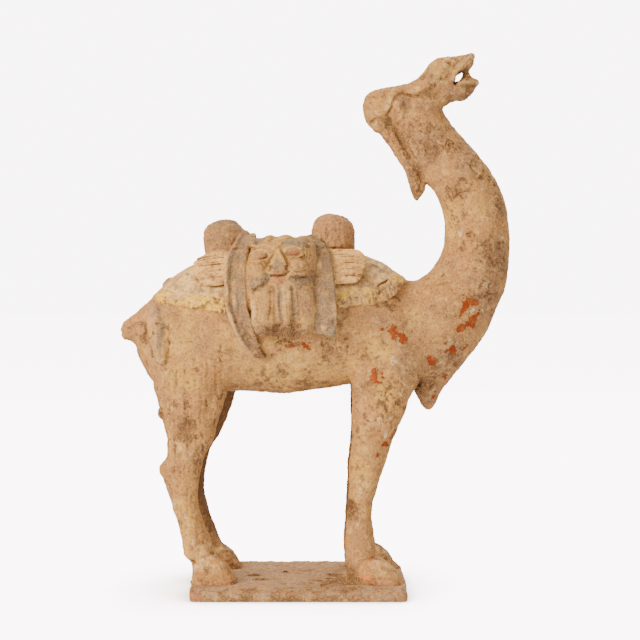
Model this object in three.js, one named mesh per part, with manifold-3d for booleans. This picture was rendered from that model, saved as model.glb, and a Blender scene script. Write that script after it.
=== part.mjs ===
// A painted pottery camel with a loaded pack saddle, standing on its slab.
// Millimetres, +Z up. The origin is the centre of the slab's underside.
// The head is towards +X, and the side that carries the tail strand is towards -Y.
import * as THREE from "three";
import { mergeVertices } from "three/addons/utils/BufferGeometryUtils.js";
import Module from "manifold-3d";

const wasm = await Module();
wasm.setup();

// Driving dimensions
const SLAB = { length: 167, width: 96, height: 10.5, corner: 3, rim: 1.2 };
const CLOTH_THICKNESS = 2.4;
const FAR_THIGH = { lead: 4.5, from: 112, to: 140 };
const FRINGE = { height: 11, thickness: 1.2, pleat: 1.7, pleatWidth: 10.5, sunk: 7.5 };
const FOOT = { toeSpread: 6.6, toeHalfWidth: 8.2, centreline: 31, sole: 8 };
const BOARDS = {
  top: [20, 270.5], bottom: [44, 245.5], proud: 3, groove: 1.7, sunk: 6, rise: 1,
  rearEnds: [-76, -84, -82, -80, -78], frontEnds: [50, 53, 52, 49.5, 47],
};
const BAND = { rings: 13, halfThickness: 3.4, rim: 0.95, groove: 0.45 };
const CURLS = { count: 5, farCount: 3, browCount: 2, thick: 4.4, thin: 3.4, halfWidth: 9, rise: 0.8 };

// Each row below is one rung of a limb: the two ends of the rung as x, z, x, z, then the half width
// across the figure, then where the rung's middle lies across it. A limb is a skin over its rungs.
const BARREL = [
  [-131, 214, -131, 190, 9, 0],
  [-127.5, 222.5, -126.5, 180, 20, 0],
  [-121, 229.5, -120, 169, 29, 0],
  [-111, 239, -110, 160.5, 36, 0],
  [-96, 252.3, -92.5, 156.5, 41, 0],
  [-72, 263.5, -70, 158, 44.5, 0],
  [-40, 268, -40, 158, 45.5, 0],
  [-12, 270, -12, 156.5, 45.5, 0],
  [16.5, 270, 16.5, 160, 44, 0],
  [40.5, 268.5, 40.5, 164, 42, 0],
  [65, 260.3, 65, 165.5, 39, 0],
  [84, 248, 85, 166.5, 34, 0],
  [103.5, 238, 103.5, 170.5, 26, 0],
  [116.5, 226, 116.5, 181.5, 14, 0],
];
const NECK = [
  [82, 396, 110, 402, 9, 0],
  [74, 381, 113.5, 393, 13.5, 0],
  [77, 366.5, 116.5, 381.5, 16, 0],
  [84.5, 351, 125.5, 368.5, 18.5, 0],
  [92, 338, 137, 356, 20, 0],
  [100.5, 327, 146, 345.5, 21, 0],
  [108.5, 318, 155, 332.5, 21.5, 0],
  [115, 303.5, 164.5, 313, 22, 0],
  [117, 286.5, 168.5, 291.5, 23, 0],
  [114.5, 270, 168.8, 267, 25, 0],
  [106.5, 256.5, 166, 243.5, 28, 0],
  [95, 248, 158.5, 224.5, 31, 0],
  [80, 240, 150.5, 206, 33, 0],
  [66, 228, 138.5, 188.5, 33, 0],
  [60, 210, 126.5, 174, 29, 0],
  [68, 192, 118, 163.5, 19, 0],
];
const CHEST_TUFT = [
  [90, 172, 120, 172, 12, 0],
  [91.5, 162, 116, 162, 10.5, 0],
  [94.5, 153.5, 112, 153.5, 8, 0],
  [99, 147, 109.5, 147, 5, 0],
  [102.5, 144, 106, 144, 2, 0],
];
const MANE = [
  [60, 375, 73, 372, 7, 0],
  [64, 365.5, 79, 365, 8, 0],
  [71, 356.5, 85, 356, 8, 0],
  [77.5, 347, 91, 346, 8, 0],
  [83.5, 337.5, 96, 336.5, 8, 0],
  [87.5, 327.5, 100.5, 328.5, 7.5, 0],
  [90, 318.5, 101.5, 321, 6.5, 0],
  [92, 314, 98, 315.5, 4, 0],
  [94, 312, 95.5, 312.5, 1.5, 0],
];
const POLL = [
  [50.8, 390, 50.8, 384, 3.5, 0],
  [53.5, 396, 54, 374.5, 8.5, 0],
  [60, 400.5, 61.5, 367, 12, 0],
  [70, 402.5, 71, 365, 13.5, 0],
  [84, 404, 81, 373.5, 13.5, 0],
];
const SKULL = [
  [73, 401, 76, 373.5, 13, 0],
  [86, 405, 90, 378, 15, 0],
  [97, 412, 102, 383, 16, 0],
  [104.5, 421.5, 113, 388, 15, 0],
  [112, 426.2, 121, 394.5, 13.5, 0],
  [121.5, 427.3, 127, 406, 12, 0],
  [130, 428.2, 133.5, 413.5, 10.5, 0],
  [136.5, 429.5, 137.5, 414.5, 8.5, 0],
  [140.7, 429, 138.8, 415.5, 5, 0],
];
const JAW = [
  [103.5, 401, 105, 380, 12, 0],
  [113, 402.5, 115.5, 387, 12.5, 0],
  [123, 404.5, 124.5, 391.5, 11.5, 0],
  [131, 411, 132.5, 392.3, 10, 0],
  [137, 414.5, 138.5, 397, 8, 0],
  [141.5, 411, 141.8, 402, 6, 0],
  [144.3, 408, 144, 405, 3.5, 0],
];
const HUMPS = {
  rear: [
    [-75.5, 262, -38.5, 262, 18, 0],
    [-77, 275, -40, 275, 18, 0],
    [-77.5, 283, -41.5, 283, 17.5, 0],
    [-76.5, 288.5, -45, 288.5, 15.5, 0],
    [-71.5, 293, -49, 293, 11, 0],
    [-65, 295.5, -52, 295.5, 6, 0],
    [-59.5, 296, -57, 296, 1.5, 0],
  ],
  front: [
    [11.5, 262, 44, 262, 18, 0],
    [10, 273.5, 44.5, 273.5, 18, 0],
    [10, 285, 44.5, 285, 17.5, 0],
    [11, 292, 43, 292, 16, 0],
    [14, 297.5, 38, 297.5, 12, 0],
    [19, 300, 31, 300, 6.5, 0],
    [23, 301, 26, 301, 1.5, 0],
  ],
};
const HIND_LEG = [
  [-117, 205, -62, 200, 13, -22],
  [-118, 182, -54, 180, 17.5, -24],
  [-114.5, 163, -56, 162, 17.5, -26.5],
  [-108, 140, -63.5, 138, 15.5, -28],
  [-104, 121.5, -67.5, 122, 13.5, -28.5],
  [-104.5, 109, -74, 109.5, 12.5, -29],
  [-108.5, 97.5, -77.5, 98, 12, -29.5],
  [-104.5, 85, -79.5, 85, 10.5, -30],
  [-100.5, 72.5, -79.5, 72, 9.8, -30],
  [-96, 58, -76, 58.5, 9.8, -30],
  [-92.5, 45, -71, 46, 10.5, -30],
  [-90.5, 34, -67, 35, 12, -30],
  [-82, 22, -60, 22, 12, -31],
];
// The far hind leg is thicker in front at the thigh.
const FAR_HIND_LEG = HIND_LEG.map(([xa, za, xb, zb, ...rest]) => {
  const { lead, from, to } = FAR_THIGH;
  return [xa, za, xb + lead * THREE.MathUtils.smoothstep(zb, from, to), zb, ...rest];
});
const FORE_LEG = [
  [52, 215, 98, 215, 12, -19],
  [43, 190, 100, 190, 17, -21.5],
  [41.5, 170, 96, 170, 17.5, -24],
  [41.5, 155, 87.5, 155, 16.5, -26],
  [41.5, 143, 83.5, 143, 15.5, -27.5],
  [42, 131, 77.5, 131, 14.5, -28.5],
  [41.5, 117, 72, 117, 13.5, -29],
  [39.5, 102, 67.5, 102, 12.5, -29],
  [39, 84, 61.5, 84, 11.5, -30],
  [38, 65, 57, 65, 11, -30],
  [37, 49, 58.5, 49, 11.5, -30],
  [36, 36, 62, 37, 12.5, -30],
  [39, 23, 68, 23, 12, -31],
];
const PACK_PAD = [
  [-55, 273, -55, 197, 44, 0],
  [-49, 278, -49, 192, 49.5, 0],
  [-12, 278, -12, 190, 51, 0],
  [21, 277.5, 21, 192, 49.5, 0],
  [28, 272, 28, 198, 44, 0],
];
const BAG = [
  [-28.5, 280, 7, 280, 14, -14],
  [-34.5, 275.5, 12, 275.5, 19, -27],
  [-39, 265.5, 14, 265.5, 20, -34],
  [-41.5, 251, 15.5, 251, 20, -38],
  [-40.5, 235.5, 16.5, 235.5, 20, -39],
  [-37.5, 221.5, 15.5, 221.5, 19, -39],
  [-32, 211, 12, 211, 16, -38],
  [-23.5, 203, 2.5, 203, 11, -37],
];
const TAIL_KNOB = [
  [-121, 227, -121, 190, 12, -4],
  [-129, 222, -128.5, 192, 12, -6],
  [-135.5, 218, -134.5, 195, 11, -7],
  [-140.5, 215, -139.5, 198.5, 9, -8],
  [-143.6, 211.5, -143, 203, 5.5, -8],
];
const TAIL_STRAND = [
  [-123.5, 228.5, -109.5, 230, 7, -18],
  [-123, 219, -108.5, 220.5, 7, -24],
  [-121, 206.5, -107, 208, 7, -29],
  [-119.5, 194.5, -107, 195.5, 6.5, -31],
  [-116.5, 186, -109.5, 187, 5, -32],
  [-113.5, 181.5, -112, 181.5, 2, -32],
];

// Feet as seen from the side: x, the top of the toe there, and its share of the full half width.
const HIND_FOOT = [
  [-83.2, 28, 0.65],
  [-77, 33, 0.95],
  [-66, 31.5, 1],
  [-56.5, 23.5, 0.95],
  [-47.5, 12.5, 0.55],
];
const FORE_FOOT = [
  [38, 20, 0.65],
  [46, 31, 0.95],
  [60, 34.5, 1],
  [71, 25.5, 0.95],
  [80.6, 12.5, 0.55],
];

// The bands that hold the load, as half an arch from the ridge of the back down to the lower end:
// x, y, z and the half width there.
const REAR_BAND = [
  [-41, 0, 282, 5],
  [-42, -12, 280.5, 5.5],
  [-45.5, -27, 271.5, 6.5],
  [-49, -39, 260.5, 7.5],
  [-49.5, -46, 247, 7.6],
  [-49, -49, 233, 7.8],
  [-46, -48.5, 219.5, 7.6],
  [-40, -46.5, 204.5, 6.8],
  [-32.5, -44, 192, 4.5],
  [-26.5, -42, 184.5, 1.5],
];
const FRONT_BAND = [
  [6, 0, 281, 5],
  [8, -12, 279, 5.5],
  [14, -27, 269.5, 6],
  [17.5, -39, 257, 6],
  [20.5, -46, 243.5, 6],
  [22.5, -49, 228.5, 6.4],
  [22.5, -48.5, 214.5, 7],
  [21, -46.5, 205.5, 5],
];

// The face on a bag, as lumps: the centre, the half sizes and the lean of each one. Curls and brow are
// rolls between two points, and the nose is a stack of levels: z, half width, y and half depth.
const FACE = {
  curls: [[-33, 34, 276], [5, 34, 277]],
  brow: [[-33, 46, 272], [7, 46, 273.5]],
  cheeks: [
    [[-31, 55, 254.5], [8.5, 5.5, 7.5], 0],
    [[0, 55.5, 256.5], [8, 5.5, 6], 0],
  ],
  eyes: [
    [[-28.5, 53, 264.5], [5.4, 4, 3.4], -0.15],
    [[-5.5, 53.5, 266.5], [6.4, 4, 3.6], 0.1],
  ],
  whiskers: [
    [[-27.5, 57, 246.5], [7.5, 4, 3], -0.6],
    [[0.5, 57, 245], [8, 4, 3], 0.12],
  ],
  folds: [
    [[-26.5, 53, 224], [10.5, 7.5, 21], 0],
    [[-9.3, 54, 225], [4.8, 7.2, 20], 0],
    [[5.3, 52, 225.5], [9, 7.5, 20.5], 0],
  ],
  noseX: -15.5,
  nose: [[270.5, 2, 50, 5], [263, 4.6, 52, 6.5], [256, 7.4, 53.5, 7], [252.5, 8, 53, 6]],
};
// The ears with the hollow in each, the knot of hair behind the head, and the corner of the mouth,
// which is cut right through.
const EAR = [[79, 12.5, 391], [9.5, 6, 6.5], 0.75];
const EAR_HOLLOW = [[82, 18.5, 390.5], [6.2, 4.2, 3.6], 0.75];
const HAIR_KNOT = [[63.5, 8.5, 374], [6, 5, 5], 0];
const MOUTH_CORNER = [[128.3, 0, 411.6], [4.9, 20, 2.3], -0.82];

// The saddle cloth as seen from the side, as the x, z outline that cuts a skin over the back.
const CLOTH_OUTLINE = [
  [-112, 250], [-113, 235], [-98, 232], [-78, 230.5], [30, 231], [52, 238], [66, 246], [82.5, 254],
  [84, 262], [64, 285], [-70, 285],
];
// The run of each fringe, from the ridge of the back down to where it goes under a band: x, then the
// angle round the barrel from its ridge, in degrees.
const REAR_FRINGE = [[-113.5, 0], [-112.5, 18], [-105.5, 43], [-84, 65], [-56, 76]];
const FRONT_FRINGE = [[80.5, 0], [77.5, 22], [66, 50], [50, 63], [26, 69]];

// Reads a Catmull-Rom curve through rows of numbers, one value for each column.
function along(rows, t) {
  const last = rows.length - 1;
  const i = Math.min(Math.floor(t * last), last - 1);
  const f = t * last - i;
  const row = (k) => rows[Math.max(0, Math.min(last, k))];
  return rows[i].map((_, c) => {
    const [a, b, d, e] = [row(i - 1)[c], row(i)[c], row(i + 1)[c], row(i + 2)[c]];
    return b + 0.5 * f * (d - a + f * (2 * a - 5 * b + 4 * d - e + f * (3 * (b - d) + e - a)));
  });
}

// Skins closed rings of points, capping both ends, with the faces turned outwards.
function skin(rings) {
  const sides = rings[0].length;
  const points = rings.flat();
  const faces = [];
  for (let i = 0; i + 1 < rings.length; i += 1) {
    for (let j = 0; j < sides; j += 1) {
      const a = i * sides + j;
      const b = i * sides + ((j + 1) % sides);
      faces.push([a, b, b + sides], [a, b + sides, a + sides]);
    }
  }
  for (const [start, flip] of [[0, true], [(rings.length - 1) * sides, false]]) {
    const centre = new THREE.Vector3();
    for (let j = 0; j < sides; j += 1) centre.addScaledVector(points[start + j], 1 / sides);
    const hub = points.push(centre) - 1;
    for (let j = 0; j < sides; j += 1) {
      const [a, b] = [start + j, start + ((j + 1) % sides)];
      faces.push(flip ? [b, a, hub] : [a, b, hub]);
    }
  }
  const cross = new THREE.Vector3();
  const volume = faces.reduce((sum, [a, b, c]) => (
    sum + points[a].dot(cross.crossVectors(points[b], points[c]))), 0);
  const geometry = new THREE.BufferGeometry().setFromPoints(points);
  geometry.setIndex(faces.flatMap(([a, b, c]) => (volume < 0 ? [a, c, b] : [a, b, c])));
  return geometry;
}

// One ring of a limb. Square below 1 gives a boxier section, and grow adds to the ring all round.
function ring([xa, za, xb, zb, half, middle], sides, square, grow) {
  const centre = new THREE.Vector3((xa + xb) / 2, middle, (za + zb) / 2);
  const rung = new THREE.Vector3((xb - xa) / 2, 0, (zb - za) / 2);
  rung.setLength(rung.length() + grow);
  const bend = (v) => Math.sign(v) * Math.abs(v) ** square;
  return Array.from({ length: sides }, (_, j) => {
    const angle = (2 * Math.PI * j) / sides;
    const point = centre.clone().addScaledVector(rung, bend(Math.cos(angle)));
    point.y += (half + grow) * bend(Math.sin(angle));
    return point;
  });
}

// A limb over its rungs, with that many rings from end to end.
function limb(rungs, rings, sides, { square = 1, grow = 0, far = false } = {}) {
  return solid(skin(Array.from({ length: rings }, (_, i) => {
    const row = along(rungs, i / (rings - 1));
    if (far) row[5] = -row[5];
    return ring(row, sides, square, grow);
  })));
}

// A closed geometry as a solid that can be joined and cut.
function solid(geometry) {
  geometry.deleteAttribute("normal");
  geometry.deleteAttribute("uv");
  const merged = mergeVertices(geometry, 1e-4);
  return new wasm.Manifold(new wasm.Mesh({
    numProp: 3,
    vertProperties: Float32Array.from(merged.attributes.position.array),
    triVerts: Uint32Array.from(merged.index.array),
  }));
}

const join = (solids) => solids.reduce((whole, piece) => whole.add(piece));

// A flattened ball of clay, turned about the axis across the figure.
function pellet([x, y, z], [rx, ry, rz], turn = 0, detail = 10) {
  const geometry = new THREE.SphereGeometry(1, detail, Math.ceil(detail / 2) + 1);
  geometry.scale(rx, ry, rz).rotateY(turn).translate(x, y, z);
  return solid(geometry);
}

// A slice of the figure from side to side whose outline is given as seen from the side.
function slice(outline, halfWidth) {
  const shape = new THREE.Shape(outline.map(([x, z]) => new THREE.Vector2(x, z)));
  const geometry = new THREE.ExtrudeGeometry(shape, { depth: 2 * halfWidth, bevelEnabled: false });
  geometry.rotateX(Math.PI / 2).translate(0, halfWidth, 0);
  return solid(geometry);
}

function slab() {
  const { length, width, height, corner, rim } = SLAB;
  const [x, y] = [length / 2, width / 2];
  const level = (z, inset) => {
    const [a, b, c] = [x - inset, y - inset, corner];
    const corners = [
      [a, c - b], [a, b - c], [a - c, b], [c - a, b], [-a, b - c], [-a, c - b], [c - a, -b], [a - c, -b],
    ];
    return corners.map(([px, py]) => new THREE.Vector3(px, py, z));
  };
  return solid(skin([level(0, 0), level(height - rim, 0), level(height, rim)]));
}

function saddleCloth() {
  const overBack = limb(BARREL, 14, 16, { grow: CLOTH_THICKNESS });
  return overBack.intersect(slice(CLOTH_OUTLINE, 70));
}

// The barrel's rung at a place along the body.
function barrelAt(x) {
  let [low, high] = [0, 1];
  while (high - low > 1e-4) {
    const t = (low + high) / 2;
    const row = along(BARREL, t);
    if ((row[0] + row[2]) / 2 < x) low = t;
    else high = t;
  }
  return along(BARREL, low);
}

// A point on the barrel's skin, at an angle in degrees from its ridge towards +Y.
function onBarrel(x, degrees) {
  const [, top, , bottom, half] = barrelAt(x);
  const angle = THREE.MathUtils.degToRad(degrees);
  const height = (top + bottom) / 2 + ((top - bottom) / 2) * Math.cos(angle);
  return new THREE.Vector3(x, half * Math.sin(angle), height);
}

// Which way the barrel's skin faces at that point.
function barrelNormal(x, degrees) {
  const round = onBarrel(x, degrees + 1).sub(onBarrel(x, degrees - 1));
  const back = onBarrel(x - 1, degrees).sub(onBarrel(x + 1, degrees));
  const out = new THREE.Vector3().crossVectors(round, back).normalize();
  return out.z < 0 ? out.negate() : out;
}

// The length of a curve whose points come from a function of 0 to 1.
function lengthOf(at, steps = 40) {
  return Array.from({ length: steps }, (_, i) => at(i / steps).distanceTo(at((i + 1) / steps)))
    .reduce((sum, step) => sum + step);
}

// A fringe is a strip that lies on the barrel from one side over the back to the other, thick and
// thin in turn as its pleats.
function fringe(run) {
  const { height, thickness, pleat, pleatWidth, sunk } = FRINGE;
  const arch = [...run.slice(1).reverse().map(([x, angle]) => [x, -angle]), ...run];
  const at = (t) => onBarrel(...along(arch, THREE.MathUtils.clamp(t, 0, 1)));
  const pleats = Math.round(lengthOf(at) / pleatWidth);
  return solid(skin(Array.from({ length: 2 * pleats + 1 }, (_, i) => {
    const t = i / (2 * pleats);
    const [x, angle] = along(arch, t);
    const forward = at(t + 0.01).sub(at(t - 0.01)).normalize();
    const out = barrelNormal(x, angle);
    const across = new THREE.Vector3().crossVectors(out, forward).multiplyScalar(height / 2);
    const proud = thickness + (i % 2 ? pleat : 0);
    return [[-1, -sunk], [-0.8, proud], [0.8, proud], [1, -sunk]]
      .map(([w, n]) => onBarrel(x, angle).addScaledVector(across, w).addScaledVector(out, n));
  })));
}

// Long thin boards beside the humps, which run on under the bag: one block a side with a ridge for
// each board, whose ends step in and out.
function boards(side) {
  const { top, bottom, proud, groove, sunk, rise, rearEnds, frontEnds } = BOARDS;
  const count = rearEnds.length;
  const upper = new THREE.Vector2(...top);
  const slope = new THREE.Vector2(...bottom).sub(upper);
  const out = new THREE.Vector2(-slope.y, slope.x).normalize();
  const section = [];
  for (let board = 0; board < count; board += 1) {
    section.push([board, proud - groove, board]);
    section.push([board + 0.25, proud, board], [board + 0.75, proud, board]);
  }
  section.push([count, proud - groove, count - 1], [count, -sunk, count - 1], [0, -sunk, 0]);
  const blunt = (ends, inset, share, lift) => section.map(([place, height, board]) => {
    const raised = height > 0 ? height * share : height;
    const point = upper.clone().addScaledVector(slope, place / count).addScaledVector(out, raised);
    return new THREE.Vector3(ends[board] + inset, side * point.x, point.y + lift);
  });
  return solid(skin([
    blunt(rearEnds, 1, 0.5, -rise),
    blunt(rearEnds, 4, 1, -rise),
    blunt(frontEnds, -1.5, 1, rise),
    blunt(frontEnds, 0, 0.8, rise),
  ]));
}

// A band over the back: a strip with raised rims, whose section turns to follow the load.
function band(half) {
  const arch = [...half.slice(1).reverse(), ...half.map(([x, y, z, w]) => [x, -y, z, w])];
  const steps = BAND.rings;
  const { rim, groove } = BAND;
  const section = [[-1, -1], [-rim, 1], [-0.35, groove], [0.35, groove], [rim, 1], [1, -1]];
  const at = (t) => along(arch, THREE.MathUtils.clamp(t, 0, 1));
  const rings = Array.from({ length: steps }, (_, i) => {
    const t = i / (steps - 1);
    const [x, y, z, width] = at(t);
    const [ahead, behind] = [at(t + 0.02), at(t - 0.02)];
    const run = new THREE.Vector3(...[0, 1, 2].map((c) => ahead[c] - behind[c])).normalize();
    const across = new THREE.Vector3(1, 0, 0).addScaledVector(run, -run.x).normalize();
    const out = new THREE.Vector3().crossVectors(run, across);
    if (out.y * y + out.z * (z - 232) < 0) out.negate();
    return section.map(([w, n]) => new THREE.Vector3(x, y, z)
      .addScaledVector(across, w * width)
      .addScaledVector(out, n * BAND.halfThickness));
  });
  return solid(skin(rings));
}

// The face on the bag. The far side has only its larger forms.
function mask(side) {
  const near = side < 0;
  const lumps = (rows) => rows.map(([[x, y, z], radii, lean]) => (
    pellet([x, side * y, z], radii, lean, near && !lean ? 8 : 6)));
  const pieces = [
    roll(...FACE.curls, near ? CURLS.count : CURLS.farCount, side),
    nose(side),
    ...lumps(FACE.cheeks),
    ...lumps(FACE.folds),
  ];
  if (near) {
    pieces.push(roll(...FACE.brow, CURLS.browCount, side));
    pieces.push(...lumps(FACE.eyes), ...lumps(FACE.whiskers));
  }
  return join(pieces);
}

// A rolled ridge with that many curls along it.
function roll(from, to, curls, side) {
  const { thick, thin, halfWidth, rise } = CURLS;
  const count = 2 * curls + 1;
  return solid(skin(Array.from({ length: count }, (_, i) => {
    const f = i / (count - 1);
    const [x, y, z] = [0, 1, 2].map((c) => THREE.MathUtils.lerp(from[c], to[c], f));
    const radius = i % 2 ? thick : thin;
    const lift = i % 2 ? rise : 0;
    return ring([x, z + lift + radius, x, z + lift - radius, halfWidth, side * y], 5, 1, 0);
  })));
}

// A nose that widens and stands out towards the nostrils.
function nose(side, sides = 8) {
  return solid(skin(FACE.nose.map(([z, half, y, deep]) => Array.from({ length: sides }, (_, j) => {
    const angle = (2 * Math.PI * j) / sides;
    return new THREE.Vector3(FACE.noseX + half * Math.cos(angle), side * y + deep * Math.sin(angle), z);
  }))));
}

// One foot: two toes side by side, each flat below and sunk into the slab.
function foot(profile, side) {
  return join([-1, 1].map((toe) => solid(skin(profile.map(([x, top, share]) => {
    const middle = side * FOOT.centreline + toe * FOOT.toeSpread;
    return ring([x, top, x, FOOT.sole, FOOT.toeHalfWidth * share, middle], 7, 0.8, 0);
  })))));
}

function head() {
  const pair = ([[x, y, z], ...rest], detail) => [-1, 1].map((side) => (
    pellet([x, side * y, z], ...rest, detail)));
  const lumps = join([
    limb(SKULL, 9, 10, { square: 0.85 }),
    limb(JAW, 7, 8, { square: 0.85 }),
    limb(POLL, 6, 10),
    ...pair(EAR, 6),
    ...pair(HAIR_KNOT, 5),
  ]);
  const hollows = [...pair(EAR_HOLLOW, 6), pellet(...MOUTH_CORNER, 6)];
  return hollows.reduce((whole, hollow) => whole.subtract(hollow), lumps);
}

function figure() {
  const pieces = [
    slab(),
    limb(BARREL, 14, 16),
    limb(NECK, 17, 14),
    limb(CHEST_TUFT, 5, 8),
    limb(MANE, 9, 8),
    head(),
    limb(HUMPS.rear, 7, 13),
    limb(HUMPS.front, 7, 13),
    saddleCloth(),
    fringe(REAR_FRINGE),
    fringe(FRONT_FRINGE),
    limb(PACK_PAD, 5, 16),
    band(REAR_BAND),
    band(FRONT_BAND),
    limb(TAIL_KNOB, 5, 9),
    limb(TAIL_STRAND, 6, 8),
  ];
  for (const side of [-1, 1]) {
    const far = side > 0;
    pieces.push(
      limb(far ? FAR_HIND_LEG : HIND_LEG, 13, 9, { far }),
      limb(FORE_LEG, 12, 9, { far }),
      foot(HIND_FOOT, side),
      foot(FORE_FOOT, side),
      boards(side),
      limb(BAG, 8, 12, { square: 0.75, far }),
      mask(side),
    );
  }
  return join(pieces);
}

// The joined solid as a geometry.
function geometryOf(body) {
  const mesh = body.getMesh();
  const positions = new Float32Array((mesh.vertProperties.length / mesh.numProp) * 3);
  for (let i = 0; i < positions.length / 3; i += 1) {
    for (let c = 0; c < 3; c += 1) positions[i * 3 + c] = mesh.vertProperties[i * mesh.numProp + c];
  }
  const geometry = new THREE.BufferGeometry();
  geometry.setAttribute("position", new THREE.BufferAttribute(positions, 3));
  geometry.setIndex(new THREE.BufferAttribute(Uint32Array.from(mesh.triVerts), 1));
  geometry.computeVertexNormals();
  return geometry;
}

const clay = new THREE.MeshStandardMaterial({ color: 0xc9a37a, roughness: 0.92, metalness: 0 });
const camel = new THREE.Mesh(geometryOf(figure()), clay);
camel.name = "camel_figure";

const group = new THREE.Group();
group.name = "pottery_camel";
group.add(camel);

export default group;
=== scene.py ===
"""The looks of a painted pottery camel with a loaded pack saddle, in a plain studio."""
import logging
import math
from dataclasses import dataclass, field
from enum import Enum
from typing import Any, ClassVar, Protocol

import bpy
import numpy as np
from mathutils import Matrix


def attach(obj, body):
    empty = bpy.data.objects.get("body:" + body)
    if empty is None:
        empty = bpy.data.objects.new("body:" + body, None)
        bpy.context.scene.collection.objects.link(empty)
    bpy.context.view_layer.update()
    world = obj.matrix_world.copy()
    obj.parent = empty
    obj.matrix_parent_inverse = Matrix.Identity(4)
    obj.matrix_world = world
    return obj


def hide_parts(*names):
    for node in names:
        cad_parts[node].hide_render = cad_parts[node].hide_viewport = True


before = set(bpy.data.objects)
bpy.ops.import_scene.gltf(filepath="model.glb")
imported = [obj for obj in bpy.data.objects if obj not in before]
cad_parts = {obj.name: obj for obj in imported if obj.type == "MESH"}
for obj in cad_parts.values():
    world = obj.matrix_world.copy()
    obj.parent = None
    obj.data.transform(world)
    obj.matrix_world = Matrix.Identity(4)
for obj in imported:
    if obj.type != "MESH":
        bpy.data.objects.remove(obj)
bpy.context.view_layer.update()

import openvdb as vdb

Array = np.ndarray
Point = tuple[float, float, float]
Path = tuple[tuple[float, float], ...]
Rungs = tuple[tuple[float, ...], ...]

log = logging.getLogger("pottery_camel")

METRES = 0.001
NODE = "camel_figure"
NEAR = -1
FAR = 1
FACE_LIMIT = 190_000


def tint(red: float, green: float, blue: float) -> tuple[float, float, float]:
    """Turn a colour as the eye reads it, 0 to 255, into the clay's own colour.

    Args:
        red: the red part.
        green: the green part.
        blue: the blue part.

    Returns:
        The linear colour for the shader.
    """
    return tuple(((part / 255 + 0.055) / 1.055) ** 2.4 for part in (red, green, blue))


class Finish(Enum):
    """What a patch of the surface is coated with, as a code and its colour; two are painted light, a
    highlight on rims and shade in pits.
    """

    CLAY = (0, tint(178, 134, 88))
    CLOTH = (1, tint(236, 202, 146))
    FRINGE = (2, tint(240, 200, 88))
    BOARD = (3, tint(244, 196, 130))
    BAND = (4, tint(126, 112, 99))
    # Painted highlight: pale tan on the raised rims of the lips and of the rear band.
    RIM = (5, tint(206, 172, 124))
    BAG = (6, tint(180, 142, 92))
    ROSE = (7, tint(168, 116, 88))
    SLATE = (8, tint(104, 97, 90))
    HAIR = (9, tint(172, 142, 118))
    HUMP = (10, tint(168, 127, 98))
    OCHRE = (11, tint(208, 168, 94))
    SLAB = (12, tint(164, 136, 118))
    CREAM = (13, tint(224, 190, 136))
    BROWN = (14, tint(108, 82, 62))
    GREY = (15, tint(138, 126, 112))
    MAUVE = (16, tint(148, 116, 92))
    SAND = (17, tint(200, 160, 86))
    PINK = (18, tint(214, 152, 112))
    GLOW = (19, tint(216, 116, 58))
    # Painted shade: near black, laid in pits and cracks where shade falls.
    PIT = (20, tint(44, 29, 20))

    @property
    def code(self) -> int:
        """Give the number that stands for the finish in a block of clay."""
        return self.value[0]

    @property
    def colour(self) -> tuple[float, float, float]:
        """Give the finish's linear colour."""
        return self.value[1]


def along(rows: Array, places: Array) -> Array:
    """Read a Catmull-Rom curve through rows of numbers.

    Args:
        rows: the rows that the curve passes through.
        places: where to read it, from 0 at the first row to 1 at the last.

    Returns:
        One row for each place.
    """
    last = len(rows) - 1
    place = np.clip(places, 0, 1) * last
    first = np.minimum(place.astype(int), last - 1)
    part = (place - first)[:, None]
    a, b, c, d = (rows[np.clip(first + step, 0, last)] for step in (-1, 0, 1, 2))
    bend = 2 * a - 5 * b + 4 * c - d + part * (3 * (b - c) + d - a)
    return b + 0.5 * part * (c - a + part * bend)


def smooth_steps(values: Array, low: float, high: float) -> Array:
    """Ease values from 0 at low to 1 at high.

    Args:
        values: the values to ease.
        low: where the rise begins.
        high: where it ends.

    Returns:
        The eased values.
    """
    part = np.clip((values - low) / (high - low), 0, 1)
    return part * part * (3 - 2 * part)


def bent(values: Array, power: float) -> Array:
    """Raise values to a power and keep their signs; a power below 1 squares a circle."""
    return np.sign(values) * np.abs(values) ** power


def swell(count: int, ends: float) -> Array:
    """Rise from a share at both ends of a line to 1 at its middle."""
    return ends + (1 - ends) * np.sin(np.linspace(0, math.pi, count)) ** 0.5


def outline_gap(x: Array, z: Array, outline: Path, far: float) -> tuple[Array, Array]:
    """Measure places seen from the side against a closed outline.

    Args:
        x: the places along the figure.
        z: their heights.
        outline: the outline's corners.
        far: the largest distance that is told apart.

    Returns:
        The distance to the outline, and whether the place is inside it.
    """
    nearest = np.full(np.broadcast(x, z).shape, far, x.dtype)
    inside = np.zeros(nearest.shape, bool)
    corners = np.array(outline, float)
    for (xa, za), (xb, zb) in zip(corners, np.roll(corners, -1, axis=0)):
        run_x, run_z = xb - xa, zb - za
        share = np.clip(((x - xa) * run_x + (z - za) * run_z) / (run_x**2 + run_z**2), 0, 1)
        nearest = np.minimum(nearest, np.hypot(x - xa - share * run_x, z - za - share * run_z))
        inside ^= ((za > z) != (zb > z)) & (x < xa + run_x * (z - za) / (run_z if run_z else 1e-9))
    return nearest, inside


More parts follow.
